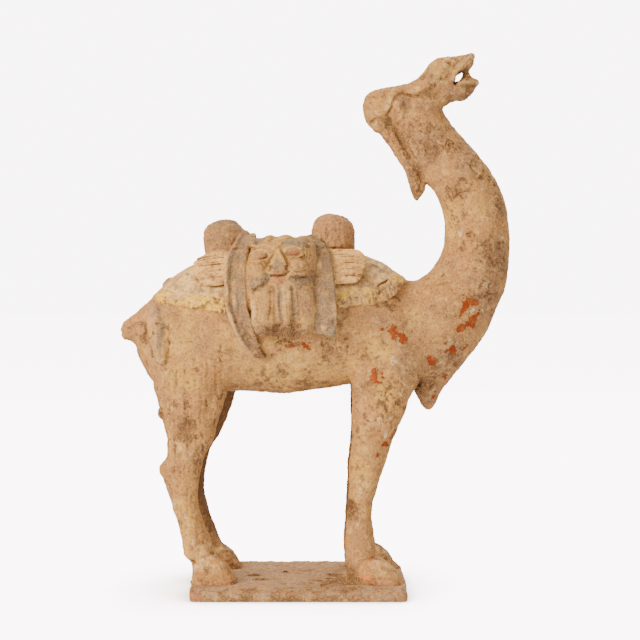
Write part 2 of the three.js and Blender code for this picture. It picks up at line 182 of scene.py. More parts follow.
@dataclass(frozen=True)
class ClayNoise:
    """Seeded bumps in space, from -1 to 1."""

    seed: int
    cells: int = 48

    def at(self, points: Array, scale: float | Point) -> Array:
        """Read the bumps.

        Args:
            points: places in millimetres.
            scale: the size of a bump, or one size for each axis.

        Returns:
            One height for each point.
        """
        lattice = np.random.default_rng(self.seed).uniform(-1, 1, (self.cells,) * 3)
        place = points / np.asarray(scale, float)
        base = np.floor(place).astype(np.int64)
        part = place - base
        part = part * part * (3 - 2 * part)
        total = np.zeros(len(points))
        for corner in np.ndindex(2, 2, 2):
            index = (base + corner) % self.cells
            weight = np.where(corner, part, 1 - part).prod(axis=1)
            total += weight * lattice[index[:, 0], index[:, 1], index[:, 2]]
        return total

    def layered(self, points: Array, scale: float, layers: int = 3) -> Array:
        """Read bumps on bumps, each layer half the size and half the height of the one before.

        Args:
            points: places in millimetres.
            scale: the size of the largest bumps.
            layers: how many sizes there are.

        Returns:
            One height for each point.
        """
        return sum(
            ClayNoise(self.seed + layer, self.cells).at(points, scale / 2**layer) / 2**layer
            for layer in range(layers)
        )


@dataclass(frozen=True)
class Window:
    """A box of cells in a block of clay."""

    cells: tuple[slice, slice, slice]
    low: Array
    step: float

    @property
    def size(self) -> tuple[int, ...]:
        """Give the number of cells each way."""
        return tuple(run.stop - run.start for run in self.cells)

    @property
    def empty(self) -> bool:
        """Say whether the box holds no cells."""
        return min(self.size) <= 1

    def axes(self) -> tuple[Array, Array, Array]:
        """Give the x, the y and the z of the cells, in three arrays that broadcast.

        Returns:
            One array for each axis.
        """
        x, y, z = (
            (low + self.step * np.arange(count)).astype(np.float32)
            for low, count in zip(self.low, self.size)
        )
        return x[:, None, None], y[None, :, None], z[None, None, :]


class Shape(Protocol):
    """A closed form that can be added to clay or carved out of it."""

    def reach(self) -> tuple[Array, Array]:
        """Give the lowest and the highest corner."""

    def distance(self, window: Window, band: float) -> Array:
        """Give the distance to the form's skin in each cell, below zero inside."""


def level_set(points: Array, faces: Array, window: Window, band: float) -> Array:
    """Measure how far each cell of a window is from a closed mesh.

    Args:
        points: the mesh's points in millimetres.
        faces: its triangles.
        window: the cells.
        band: the largest distance that is told apart.

    Returns:
        The distances, below zero inside.
    """
    local = ((points - window.low) / window.step).astype(np.float32)
    grid = vdb.FloatGrid.createLevelSetFromPolygons(
        local, triangles=faces.astype(np.uint32), halfWidth=band / window.step
    )
    values = np.empty(window.size, np.float32)
    grid.copyToArray(values)
    return values * window.step


def close_rings(rings: Array) -> tuple[Array, Array]:
    """Skin closed rings of points and cap both ends.

    Args:
        rings: the points, as rings x sides x 3.

    Returns:
        The points and the triangles.
    """
    count, sides = rings.shape[:2]
    index = np.arange(count * sides).reshape(count, sides)
    a, b = index[:-1], np.roll(index, -1, axis=1)[:-1]
    c, d = np.roll(index, -1, axis=1)[1:], index[1:]
    walls = np.concatenate([np.stack([a, b, c], -1), np.stack([a, c, d], -1)]).reshape(-1, 3)
    hubs = rings[[0, -1]].mean(axis=1)
    caps = [
        np.stack([np.roll(ring, -turn), np.roll(ring, turn - 1), np.full(sides, hub)], -1)
        for ring, hub, turn in ((index[0], count * sides, 1), (index[-1], count * sides + 1, 0))
    ]
    return np.concatenate([rings.reshape(-1, 3), hubs]), np.concatenate([walls, *caps])


def ribbon(middle: Array, across: Array, out: Array, half: Array, profile: Array) -> "Solid":
    """Sweep a flat profile along a path.

    Args:
        middle: the path's points.
        across: the direction of the ribbon's width at them.
        out: the direction of its thickness.
        half: half its width at them.
        profile: rows of place across, from -1 to 1, and height in millimetres.

    Returns:
        The swept form.
    """
    wide = across[:, None] * profile[None, :, :1] * half[:, None, None]
    return Solid(*close_rings(middle[:, None] + wide + out[:, None] * profile[None, :, 1:]))


@dataclass(frozen=True)
class Solid:
    """A closed mesh."""

    points: Array
    faces: Array

    def reach(self) -> tuple[Array, Array]:
        """Give the lowest and the highest corner."""
        return self.points.min(axis=0), self.points.max(axis=0)

    def distance(self, window: Window, band: float) -> Array:
        """Give the distance to the mesh in each cell."""
        return level_set(self.points, self.faces, window, band)


@dataclass(frozen=True)
class Loft:
    """A skin over rungs seen from the side, as a limb is modelled.

    A rung holds the x and z of both its ends and its half width, then its middle across the figure
    where that isn't 0.
    """

    rungs: Rungs
    square: float = 1.0
    grow: float = 0.0
    mirrored: bool = False
    rings: int = 60
    sides: int = 48

    def solid(self) -> Solid:
        """Skin the rungs.

        Returns:
            The skinned form.
        """
        rungs = np.array([(*rung, 0)[:6] for rung in self.rungs], float)
        rows = along(rungs, np.linspace(0, 1, self.rings))
        x_a, z_a, x_b, z_b, half, middle = rows.T
        if self.mirrored:
            middle = -middle
        centre = np.stack([(x_a + x_b) / 2, middle, (z_a + z_b) / 2], axis=1)
        rung = np.stack([(x_b - x_a) / 2, 0 * x_a, (z_b - z_a) / 2], axis=1)
        rung *= 1 + self.grow / np.linalg.norm(rung, axis=1, keepdims=True)
        angle = np.linspace(0, 2 * math.pi, self.sides, endpoint=False)
        across, out = bent(np.cos(angle), self.square), bent(np.sin(angle), self.square)
        rings = centre[:, None] + rung[:, None] * across[None, :, None]
        rings[:, :, 1] += (half + self.grow)[:, None] * out
        return Solid(*close_rings(rings))

    def reach(self) -> tuple[Array, Array]:
        """Give the lowest and the highest corner."""
        return self.solid().reach()

    def distance(self, window: Window, band: float) -> Array:
        """Give the distance to the skin in each cell."""
        return self.solid().distance(window, band)


@dataclass(frozen=True)
class Ball:
    """A flattened ball of clay, turned about the axis across the figure."""

    centre: Point
    radii: Point
    lean: float = 0.0

    def reach(self) -> tuple[Array, Array]:
        """Give the lowest and the highest corner."""
        centre = np.array(self.centre)
        return centre - max(self.radii), centre + max(self.radii)

    def distance(self, window: Window, band: float) -> Array:
        """Give the rough distance to the ball in each cell.

        Args:
            window: the cells.
            band: the largest distance that is told apart; not used here.

        Returns:
            The distances, below zero inside.
        """
        x, y, z = (axis - middle for axis, middle in zip(window.axes(), self.centre))
        cosine, sine = math.cos(self.lean), math.sin(self.lean)
        along_x, along_z = cosine * x - sine * z, sine * x + cosine * z
        rx, ry, rz = self.radii
        near = np.sqrt((along_x / rx) ** 2 + (y / ry) ** 2 + (along_z / rz) ** 2)
        steep = np.sqrt((along_x / rx**2) ** 2 + (y / ry**2) ** 2 + (along_z / rz**2) ** 2)
        return (near * (near - 1) / np.maximum(steep, 1e-6)).astype(np.float32)


@dataclass(frozen=True)
class Cord:
    """A round roll of clay along a path, as thick as its radii say."""

    path: Array
    radii: Array

    def reach(self) -> tuple[Array, Array]:
        """Give the lowest and the highest corner."""
        thick = self.radii.max()
        return self.path.min(axis=0) - thick, self.path.max(axis=0) + thick

    def distance(self, window: Window, band: float) -> Array:
        """Give the distance to the roll in each cell.

        Args:
            window: the cells.
            band: the largest distance that is told apart.

        Returns:
            The distances, below zero inside.
        """
        found = np.full(window.size, band, np.float32)
        for a, b, thick_a, thick_b in zip(self.path, self.path[1:], self.radii, self.radii[1:]):
            spread = max(thick_a, thick_b) + band
            low = (np.minimum(a, b) - spread - window.low) / window.step
            high = (np.maximum(a, b) + spread - window.low) / window.step
            cells = tuple(
                slice(max(0, int(start)), max(0, min(count, int(stop) + 2)))
                for start, stop, count in zip(low, high, window.size)
            )
            part = Window(cells, window.low + window.step * np.array([c.start for c in cells]), window.step)
            if part.empty:
                continue
            offset = [axis - start for axis, start in zip(part.axes(), a)]
            run = b - a
            length = max(float(run @ run), 1e-9)
            share = np.clip(sum(o * r for o, r in zip(offset, run)) / length, 0, 1)
            gap = np.sqrt(sum((o - share * r) ** 2 for o, r in zip(offset, run)))
            gap -= thick_a + (thick_b - thick_a) * share
            found[cells] = np.minimum(found[cells], gap)
        return found


@dataclass(frozen=True)
class Slice:
    """The space from side to side whose outline is given as seen from the side."""

    outline: Path
    half_width: float

    def reach(self) -> tuple[Array, Array]:
        """Give the lowest and the highest corner."""
        (low_x, low_z), (high_x, high_z) = np.min(self.outline, axis=0), np.max(self.outline, axis=0)
        return np.array([low_x, -self.half_width, low_z]), np.array([high_x, self.half_width, high_z])

    def distance(self, window: Window, band: float) -> Array:
        """Give the distance to the outline in each cell.

        Args:
            window: the cells.
            band: the largest distance that is told apart; not used here.

        Returns:
            The distances, below zero inside.
        """
        x, _, z = window.axes()
        nearest, inside = outline_gap(x[:, 0], z[0], self.outline, 1e6)
        flat = np.where(inside, -nearest, nearest).astype(np.float32)
        return np.broadcast_to(flat[:, None, :], window.size)


@dataclass(frozen=True)
class Block:
    """A box with rounded edges."""

    low: Point
    high: Point
    edge: float = 0.0

    def reach(self) -> tuple[Array, Array]:
        """Give the lowest and the highest corner."""
        return np.array(self.low), np.array(self.high)

    def distance(self, window: Window, band: float) -> Array:
        """Give the distance to the box in each cell.

        Args:
            window: the cells.
            band: the largest distance that is told apart; not used here.

        Returns:
            The distances, below zero inside.
        """
        past = [
            np.abs(axis - (low + high) / 2) - ((high - low) / 2 - self.edge)
            for axis, low, high in zip(window.axes(), self.low, self.high)
        ]
        outside = np.sqrt(sum(np.maximum(gap, 0) ** 2 for gap in past))
        inside = np.minimum(np.maximum(np.maximum(past[0], past[1]), past[2]), 0)
        return outside + inside - self.edge


class Clay:
    """A block of cells that holds a form as distances to its skin, in millimetres."""

    TRAIL_STEP = 1.5

    def __init__(self, low: Point, high: Point, step: float, band: float) -> None:
        """Make an empty block.

        Args:
            low: its lowest corner.
            high: its highest corner.
            step: the size of a cell.
            band: the largest distance that is told apart.
        """
        self.low = np.array(low, float)
        self.step = step
        self.band = band
        size = tuple(int(round((b - a) / step)) + 1 for a, b in zip(low, high))
        self.values = np.full(size, band, np.float32)
        self.owner = np.zeros(size, np.uint8)

    def window(self, low: Array, high: Array) -> Window:
        """Find the cells between two corners.

        Args:
            low: the lowest corner.
            high: the highest corner.

        Returns:
            The window, clipped to the block.
        """
        places = zip((low - self.low) / self.step, (high - self.low) / self.step, self.values.shape)
        cells = tuple(
            slice(max(0, min(count, int(a))), max(0, min(count, int(b) + 2))) for a, b, count in places
        )
        starts = np.array([run.start for run in cells])
        return Window(cells, self.low + self.step * starts, self.step)

    def around(self, shape: Shape, margin: float) -> Window:
        """Find the cells in and near a form."""
        low, high = shape.reach()
        return self.window(low - margin, high + margin)

    def add(self, shape: Shape, finish: Finish = Finish.CLAY, blend: float = 1.0) -> None:
        """Press a form onto the clay.

        Args:
            shape: the form.
            finish: what it is coated with.
            blend: how wide its joint is smoothed.
        """
        window = self.around(shape, self.band)
        if not window.empty:
            new, old = shape.distance(window, self.band), self.values[window.cells]
            nearer = new < old
            self.values[window.cells] = np.minimum(old, new) - self.fillet(old, new, blend)
            self.owner[window.cells][nearer] = finish.code

    def carve(self, shape: Shape, blend: float = 0.6, finish: Finish | None = None) -> None:
        """Cut a form out of the clay.

        Args:
            shape: the form.
            blend: how wide the cut's edge is rounded.
            finish: what the cut is coated with, if it changes.
        """
        window = self.around(shape, self.band)
        if not window.empty:
            cut, old = -shape.distance(window, self.band), self.values[window.cells]
            opened = cut > old - self.step
            self.values[window.cells] = np.maximum(old, cut) + self.fillet(old, cut, blend)
            if finish:
                self.owner[window.cells][opened] = finish.code

    def fillet(self, first: Array, second: Array, blend: float) -> Array:
        """Work out how much a joint is filled or its edge rounded.

        Args:
            first: distances to one skin.
            second: distances to the other.
            blend: how wide the joint is.

        Returns:
            The depth in each cell, which fades out where the distances reach the band.
        """
        far = np.maximum(np.abs(first), np.abs(second)) / self.band
        near = np.clip(2.2 * (1 - far), 0, 1)
        return near * np.maximum(blend - np.abs(first - second), 0) ** 2 / (4 * blend)

    def coat(self, shape: Shape, finish: Finish, margin: float) -> None:
        """Change the finish of the clay in and near a form.

        Args:
            shape: the form.
            finish: the new finish.
            margin: how far beyond the form it goes.
        """
        window = self.around(shape, margin)
        if not window.empty:
            self.owner[window.cells][shape.distance(window, self.band) < margin] = finish.code

    def keep(self, shape: Shape) -> None:
        """Leave only what lies inside a form."""
        whole = self.window(self.low, self.low + self.step * np.array(self.values.shape))
        self.values = np.maximum(self.values, shape.distance(whole, self.band)).astype(np.float32)

    def skin(self, x: Array, z: Array, side: int) -> Array:
        """Find where the skin is, looking across the figure.

        Args:
            x: places along the figure.
            z: their heights.
            side: NEAR or FAR, the side that the look comes from.

        Returns:
            The y of the skin, or nothing (nan) where there is no clay.
        """
        last_x, _, last_z = np.array(self.values.shape) - 1
        across = np.clip(np.rint((x - self.low[0]) / self.step).astype(int), 0, last_x)
        up = np.clip(np.rint((z - self.low[2]) / self.step).astype(int), 0, last_z)
        columns = self.values[across, :, up]
        if side == FAR:
            columns = columns[:, ::-1]
        inside = columns < 0
        first = np.maximum(inside.argmax(axis=1), 1)
        rows = np.arange(len(columns))
        before, after = columns[rows, first - 1], columns[rows, first]
        place = first - 1 + before / np.maximum(before - after, 1e-6)
        if side == FAR:
            place = columns.shape[1] - 1 - place
        return np.where(inside.any(axis=1), self.low[1] + place * self.step, np.nan)

    def trail(self, path: Path, side: int) -> Array:
        """Lay a curve on the skin.

        Args:
            path: the curve's x and z.
            side: NEAR or FAR.

        Returns:
            The points of the curve that lie on clay.
        """
        corners = np.array(path, float)
        length = np.linalg.norm(np.diff(corners, axis=0), axis=1).sum()
        places = along(corners, np.linspace(0, 1, max(3, int(length / self.TRAIL_STEP) + 1)))
        depth = self.skin(places[:, 0], places[:, 1], side)
        points = np.stack([places[:, 0], depth, places[:, 1]], axis=1)
        return points[~np.isnan(depth)]

    def roll(
        self, path: Path, thick: float, proud: float, finish: Finish = Finish.CLAY, side: int = NEAR,
        blend: float = 1.2, taper: float = 0.5,
    ) -> None:
        """Lay a thin roll of clay on the skin.

        Args:
            path: its x and z.
            thick: its radius at the middle.
            proud: how far it stands out.
            finish: what it is coated with.
            side: NEAR or FAR.
            blend: how wide its joint is smoothed.
            taper: the share of the radius at its ends.
        """
        points = self.trail(path, side)
        if len(points) > 1:
            radii = thick * swell(len(points), taper)
            points[:, 1] += side * (proud * swell(len(points), taper) - radii)
            self.add(Cord(points, radii), finish, blend)

    def groove(
        self, path: Path, thick: float, deep: float, side: int = NEAR, blend: float = 0.8,
        finish: Finish | None = None, taper: float = 0.4,
    ) -> None:
        """Draw a tool along the skin.

        Args:
            path: its x and z.
            thick: the tool's radius.
            deep: how far it goes in.
            side: NEAR or FAR.
            blend: how wide the groove's edges are rounded.
            finish: what the groove is coated with, if it changes.
            taper: the share of the depth at its ends.
        """
        points = self.trail(path, side)
        if len(points) > 1:
            points[:, 1] += side * (thick - deep * swell(len(points), taper))
            self.carve(Cord(points, np.full(len(points), thick)), blend, finish)

    def ball_on(self, place: tuple[float, float], radii: Point, lean: float, side: int, lift: float) -> Ball:
        """Set a ball on the skin.

        Args:
            place: its x and z.
            radii: its half sizes.
            lean: its turn about the axis across the figure.
            side: NEAR or FAR.
            lift: how far its middle lies outside the skin.

        Returns:
            The ball, whose middle is nothing (nan) where there is no clay.
        """
        depth = float(self.skin(np.array([place[0]]), np.array([place[1]]), side)[0])
        return Ball((place[0], depth + side * lift, place[1]), radii, lean)

    def lump(
        self, place: tuple[float, float], radii: Point, proud: float, finish: Finish = Finish.CLAY,
        lean: float = 0.0, side: int = NEAR, blend: float = 1.5,
    ) -> None:
        """Press a lump onto the skin.

        Args:
            place: its x and z.
            radii: its half sizes.
            proud: how far it stands out.
            finish: what it is coated with.
            lean: its turn about the axis across the figure.
            side: NEAR or FAR.
            blend: how wide its joint is smoothed.
        """
        ball = self.ball_on(place, radii, lean, side, proud - radii[1])
        if not math.isnan(ball.centre[1]):
            self.add(ball, finish, blend)

    def dent(
        self, place: tuple[float, float], radii: Point, deep: float, lean: float = 0.0, side: int = NEAR,
        blend: float = 1.2, finish: Finish | None = None,
    ) -> None:
        """Press a hollow into the skin.

        Args:
            place: its x and z.
            radii: its half sizes.
            deep: how far it goes in.
            lean: its turn about the axis across the figure.
            side: NEAR or FAR.
            blend: how wide its edge is rounded.
            finish: what the hollow is coated with, if it changes.
        """
        ball = self.ball_on(place, radii, lean, side, radii[1] - deep)
        if not math.isnan(ball.centre[1]):
            self.carve(ball, blend, finish)

    def sample(self, points: Array) -> Array:
        """Read the distances between the cells.

        Args:
            points: places in millimetres.

        Returns:
            One distance for each point; the band outside the block.
        """
        place = (points - self.low) / self.step
        limit = np.array(self.values.shape) - 2
        base = np.clip(np.floor(place).astype(np.int64), 0, limit)
        part = np.clip(place - base, 0, 1)
        total = np.zeros(len(points))
        for corner in np.ndindex(2, 2, 2):
            index = base + corner
            weight = np.where(corner, part, 1 - part).prod(axis=1)
            total += weight * self.values[index[:, 0], index[:, 1], index[:, 2]]
        outside = ((place < 0) | (place > limit + 1)).any(axis=1)
        return np.where(outside, self.band, total)

    def owners(self, points: Array) -> Array:
        """Read the finish codes.

        Args:
            points: places in millimetres.

        Returns:
            The code of the nearest cell for each point.
        """
        limit = np.array(self.owner.shape) - 1
        index = np.clip(np.rint((points - self.low) / self.step).astype(np.int64), 0, limit)
        return self.owner[index[:, 0], index[:, 1], index[:, 2]]

    def quads(self) -> tuple[Array, Array]:
        """Skin the clay with four-sided faces.

        Returns:
            The points in millimetres and the faces, pointing outwards.
        """
        grid = vdb.FloatGrid(self.band / self.step)
        grid.copyFromArray(np.ascontiguousarray(self.values / self.step, dtype=np.float32))
        points, faces = grid.convertToQuads(0.0)
        corner = points[faces]
        across = np.cross(corner[:, 2] - corner[:, 0], corner[:, 3] - corner[:, 1])
        if (across * corner.mean(axis=1)).sum() < 0:
            faces = faces[:, ::-1]
        return self.low + points.astype(np.float64) * self.step, faces


def mesh_of(name: str, points: Array, faces: Array) -> bpy.types.Mesh:
    """Make a mesh from arrays.

    Args:
        name: the mesh's name.
        points: its points in metres.
        faces: its faces, all with as many corners.

    Returns:
        The mesh.
    """
    mesh = bpy.data.meshes.new(name)
    mesh.vertices.add(len(points))
    mesh.vertices.foreach_set("co", points.astype(np.float32).ravel())
    mesh.loops.add(faces.size)
    mesh.loops.foreach_set("vertex_index", faces.astype(np.int32).ravel())
    mesh.polygons.add(len(faces))
    mesh.polygons.foreach_set("loop_start", np.arange(0, faces.size, faces.shape[1], dtype=np.int32))
    mesh.update(calc_edges=True)
    mesh.validate()
    return mesh


def object_of(mesh: bpy.types.Mesh) -> bpy.types.Object:
    """Put a mesh into the scene as an object of the same name.

    Args:
        mesh: the mesh.

    Returns:
        The object.
    """
    thing = bpy.data.objects.new(mesh.name, mesh)
    bpy.context.scene.collection.objects.link(thing)
    return thing


def settled(thing: bpy.types.Object) -> bpy.types.Mesh:
    """Take the modifiers of an object into a new mesh.

    Args:
        thing: the object, whose modifiers are removed.

    Returns:
        The mesh with the modifiers' result.
    """
    graph = bpy.context.evaluated_depsgraph_get()
    mesh = bpy.data.meshes.new_from_object(thing.evaluated_get(graph))
    thing.modifiers.clear()
    return mesh


def triples_of(items: Any, name: str, kind: type = np.float32) -> Array:
    """Read a property of three numbers from each item of a collection.

    Args:
        items: the collection.
        name: the property's name.
        kind: the type of its numbers.

    Returns:
        One row for each item.
    """
    values = np.empty(len(items) * 3, kind)
    items.foreach_get(name, values)
    return values.reshape(-1, 3)


def points_of(mesh: bpy.types.Mesh) -> tuple[Array, Array]:
    """Read a mesh's points in millimetres and its normals at them."""
    points, normals = triples_of(mesh.vertices, "co"), triples_of(mesh.vertex_normals, "vector")
    return points.astype(float) / METRES, normals.astype(float)


def globe(lift: Array, sides: int, square: float = 1.0) -> tuple[Array, Array]:
    """Skin a ball of radius one.

    Args:
        lift: the angles of its rings above the middle.
        sides: how many points a ring has.
        square: below 1 for a boxier ball.

    Returns:
        The points and the triangles.
    """
    turn = np.linspace(0, 2 * math.pi, sides, endpoint=False)
    wide, tall = bent(np.cos(lift), square)[:, None], bent(np.sin(lift), square)[:, None]
    x, y = wide * bent(np.cos(turn), square), wide * bent(np.sin(turn), square)
    return close_rings(np.stack([x, y, np.repeat(tall, sides, axis=1)], axis=-1))


class RowTree:
    """Geometry Nodes that set copies of one unit along a path on the clay.

    The path's points carry an attribute "out", which way the unit's top faces.
    """

    INPUTS = {
        "Unit": "Object", "Count": "Int", "Size": "Vector", "Spread": "Float", "Seed": "Int",
        "Material": "Material",
    }

    def __init__(self) -> None:
        """Build the tree."""
        self.tree = bpy.data.node_groups.new("row_along_path", "GeometryNodeTree")
        face = self.tree.interface
        face.new_socket("Geometry", in_out="INPUT", socket_type="NodeSocketGeometry")
        self.keys = {
            name: face.new_socket(name, in_out="INPUT", socket_type=f"NodeSocket{kind}").identifier
            for name, kind in self.INPUTS.items()
        }
        face.new_socket("Geometry", in_out="OUTPUT", socket_type="NodeSocketGeometry")
        self._wire()

    def _node(self, kind: str, settings: dict[str, Any] | None = None, **inputs: Any) -> bpy.types.Node:
        """Add a node.

        Args:
            kind: its type.
            settings: its own settings, set before the inputs.
            inputs: its sockets by name, with _ for a space, as values or as sockets to link.

        Returns:
            The node.
        """
        node = self.tree.nodes.new(kind)
        for name, value in (settings or {}).items():
            setattr(node, name, value)
        for name, value in inputs.items():
            socket = node.inputs[name.replace("_", " ")]
            if isinstance(value, bpy.types.NodeSocket):
                self.tree.links.new(value, socket)
            else:
                socket.default_value = value
        return node

    def _wire(self) -> None:
        """Join the nodes: the path, its points, the turned units and their finish."""
        given = self._node("NodeGroupInput").outputs
        curve = self._node("GeometryNodeMeshToCurve", Mesh=given["Geometry"]).outputs[0]
        points = self._node("GeometryNodeResampleCurve", {"mode": "COUNT"}, Curve=curve, Count=given["Count"])
        unit = self._node("GeometryNodeObjectInfo", Object=given["Unit"])
        out = self._node("GeometryNodeInputNamedAttribute", {"data_type": "FLOAT_VECTOR"}, Name="out")
        tangent = self._node("GeometryNodeInputTangent").outputs[0]
        axes = {"primary_axis": "Z", "secondary_axis": "X"}
        facing = {"Primary_Axis": out.outputs["Attribute"], "Secondary_Axis": tangent}
        turn = self._node("FunctionNodeAxesToRotation", axes, **facing)
        limits = {"Min": (-1, -1, -1), "Max": (1, 1, 1), "Seed": given["Seed"]}
        chance = self._node("FunctionNodeRandomValue", {"data_type": "FLOAT_VECTOR"}, **limits).outputs[0]
        spread = self._node("ShaderNodeVectorMath", {"operation": "SCALE"}, Scale=given["Spread"])
        self.tree.links.new(chance, spread.inputs[0])
        size = self._node("ShaderNodeVectorMath", {"operation": "MULTIPLY_ADD"})
        for socket, value in zip(size.inputs, (spread.outputs[0], given["Size"], given["Size"])):
            self.tree.links.new(value, socket)
        copies = self._node(
            "GeometryNodeInstanceOnPoints", Points=points.outputs[0], Instance=unit.outputs["Geometry"],
            Rotation=turn.outputs[0], Scale=size.outputs[0],
        )
        real = self._node("GeometryNodeRealizeInstances", Geometry=copies.outputs[0]).outputs[0]
        dressed = self._node("GeometryNodeSetMaterial", Geometry=real, Material=given["Material"])
        self._node("NodeGroupOutput", Geometry=dressed.outputs[0])

    def lay(
        self, path: Array, out: Array, unit: bpy.types.Object, count: int, size: Point,
        material: bpy.types.Material, spread: float, seed: int,
    ) -> Solid:
        """Set units along a path.

        Args:
            path: the path's points in millimetres.
            out: which way the units' tops face at them.
            unit: the object that is repeated.
            count: how many there are.
            size: the unit's size.
            material: the finish that the tree gives them.
            spread: how much the sizes differ, as a share.
            seed: which chance sizes they get.

        Returns:
            All the units as one form.
        """
        mesh = bpy.data.meshes.new("row_path")
        mesh.from_pydata([tuple(point) for point in path], [(i, i + 1) for i in range(len(path) - 1)], [])
        facing = mesh.attributes.new("out", "FLOAT_VECTOR", "POINT")
        facing.data.foreach_set("vector", np.asarray(out, np.float32).ravel())
        thing = object_of(mesh)
        modifier = thing.modifiers.new("row", "NODES")
        modifier.node_group = self.tree
        for name, value in zip(self.INPUTS, (unit, count, size, spread, seed, material)):
            modifier[self.keys[name]] = value
        result = settled(thing)
        result.calc_loop_triangles()
        faces = triples_of(result.loop_triangles, "vertices", np.int32)
        units = Solid(triples_of(result.vertices, "co").astype(float), faces)
        bpy.data.objects.remove(thing)
        bpy.data.meshes.remove(result)
        return units


def pellet_unit(name: str, square: float = 1.0) -> bpy.types.Object:
    """Make a small closed unit of radius one for a row.

    Args:
        name: its name.
        square: below 1 for a boxier pellet.

    Returns:
        The object, which isn't part of the scene.
    """
    levels, sides = 9, 12
    points, faces = globe(np.linspace(-math.pi / 2, math.pi / 2, levels + 2)[1:-1], sides, square)
    points[-2:, 2] = (-1, 1)
    return bpy.data.objects.new(name, mesh_of(name, points, faces))


@dataclass(frozen=True)
class Spot:
    """A patch on the near side: its middle, half sizes, strength and lean."""

    x: float
    z: float
    half_x: float
    half_z: float
    strength: float = 1.0
    lean: float = 0.0

    def field(self, points: Array, normals: Array) -> Array:
        """Measure how far inside the patch each point is.

        Args:
            points: places in millimetres.
            normals: which way the surface faces there.

        Returns:
            1 at the middle, a half at the patch's edge and 0 well outside.
        """
        x, z = points[:, 0] - self.x, points[:, 2] - self.z
        cosine, sine = math.cos(self.lean), math.sin(self.lean)
        along_x, along_z = (cosine * x + sine * z) / self.half_x, (cosine * z - sine * x) / self.half_z
        inside = np.clip(1.5 - np.hypot(along_x, along_z), 0, 1)
        return self.strength * inside * smooth_steps(-normals[:, 1], 0.0, 0.35)


@dataclass(frozen=True)
class Flake:
    """A flake of pigment on the near side, with its outline."""

    outline: Path
    strength: float = 1.0

    def field(self, points: Array, normals: Array) -> Array:
        """Measure how far inside the flake each point is.

        Args:
            points: places in millimetres.
            normals: which way the surface faces there.

        Returns:
            1 well inside, a half at the flake's edge and 0 outside.
        """
        low, high = np.min(self.outline, axis=0) - 2, np.max(self.outline, axis=0) + 2
        flat = points[:, [0, 2]]
        near = ((flat > low) & (flat < high)).all(axis=1) & (normals[:, 1] < -0.1)
        nearest, inside = outline_gap(*flat[near].T, self.outline, 9.0)
        depth = np.zeros(len(points))
        depth[near] = self.strength * np.clip(0.5 + np.where(inside, nearest, -nearest) / 3.0, 0, 1)
        return depth


def spread_of(spots: "tuple[Spot | Flake, ...]", points: Array, normals: Array) -> Array:
    """Join the fields of several patches.

    Args:
        spots: the patches.
        points: places in millimetres.
        normals: which way the surface faces there.

    Returns:
        The highest field at each point.
    """
    best = np.zeros(len(points))
    for spot in spots:
        np.maximum(best, spot.field(points, normals), out=best)
    return best


@dataclass(frozen=True)
class Patch:
    """A painted area: what it is coated with and where."""

    finish: Finish
    spots: tuple[Spot, ...]
    edge: float = 0.35


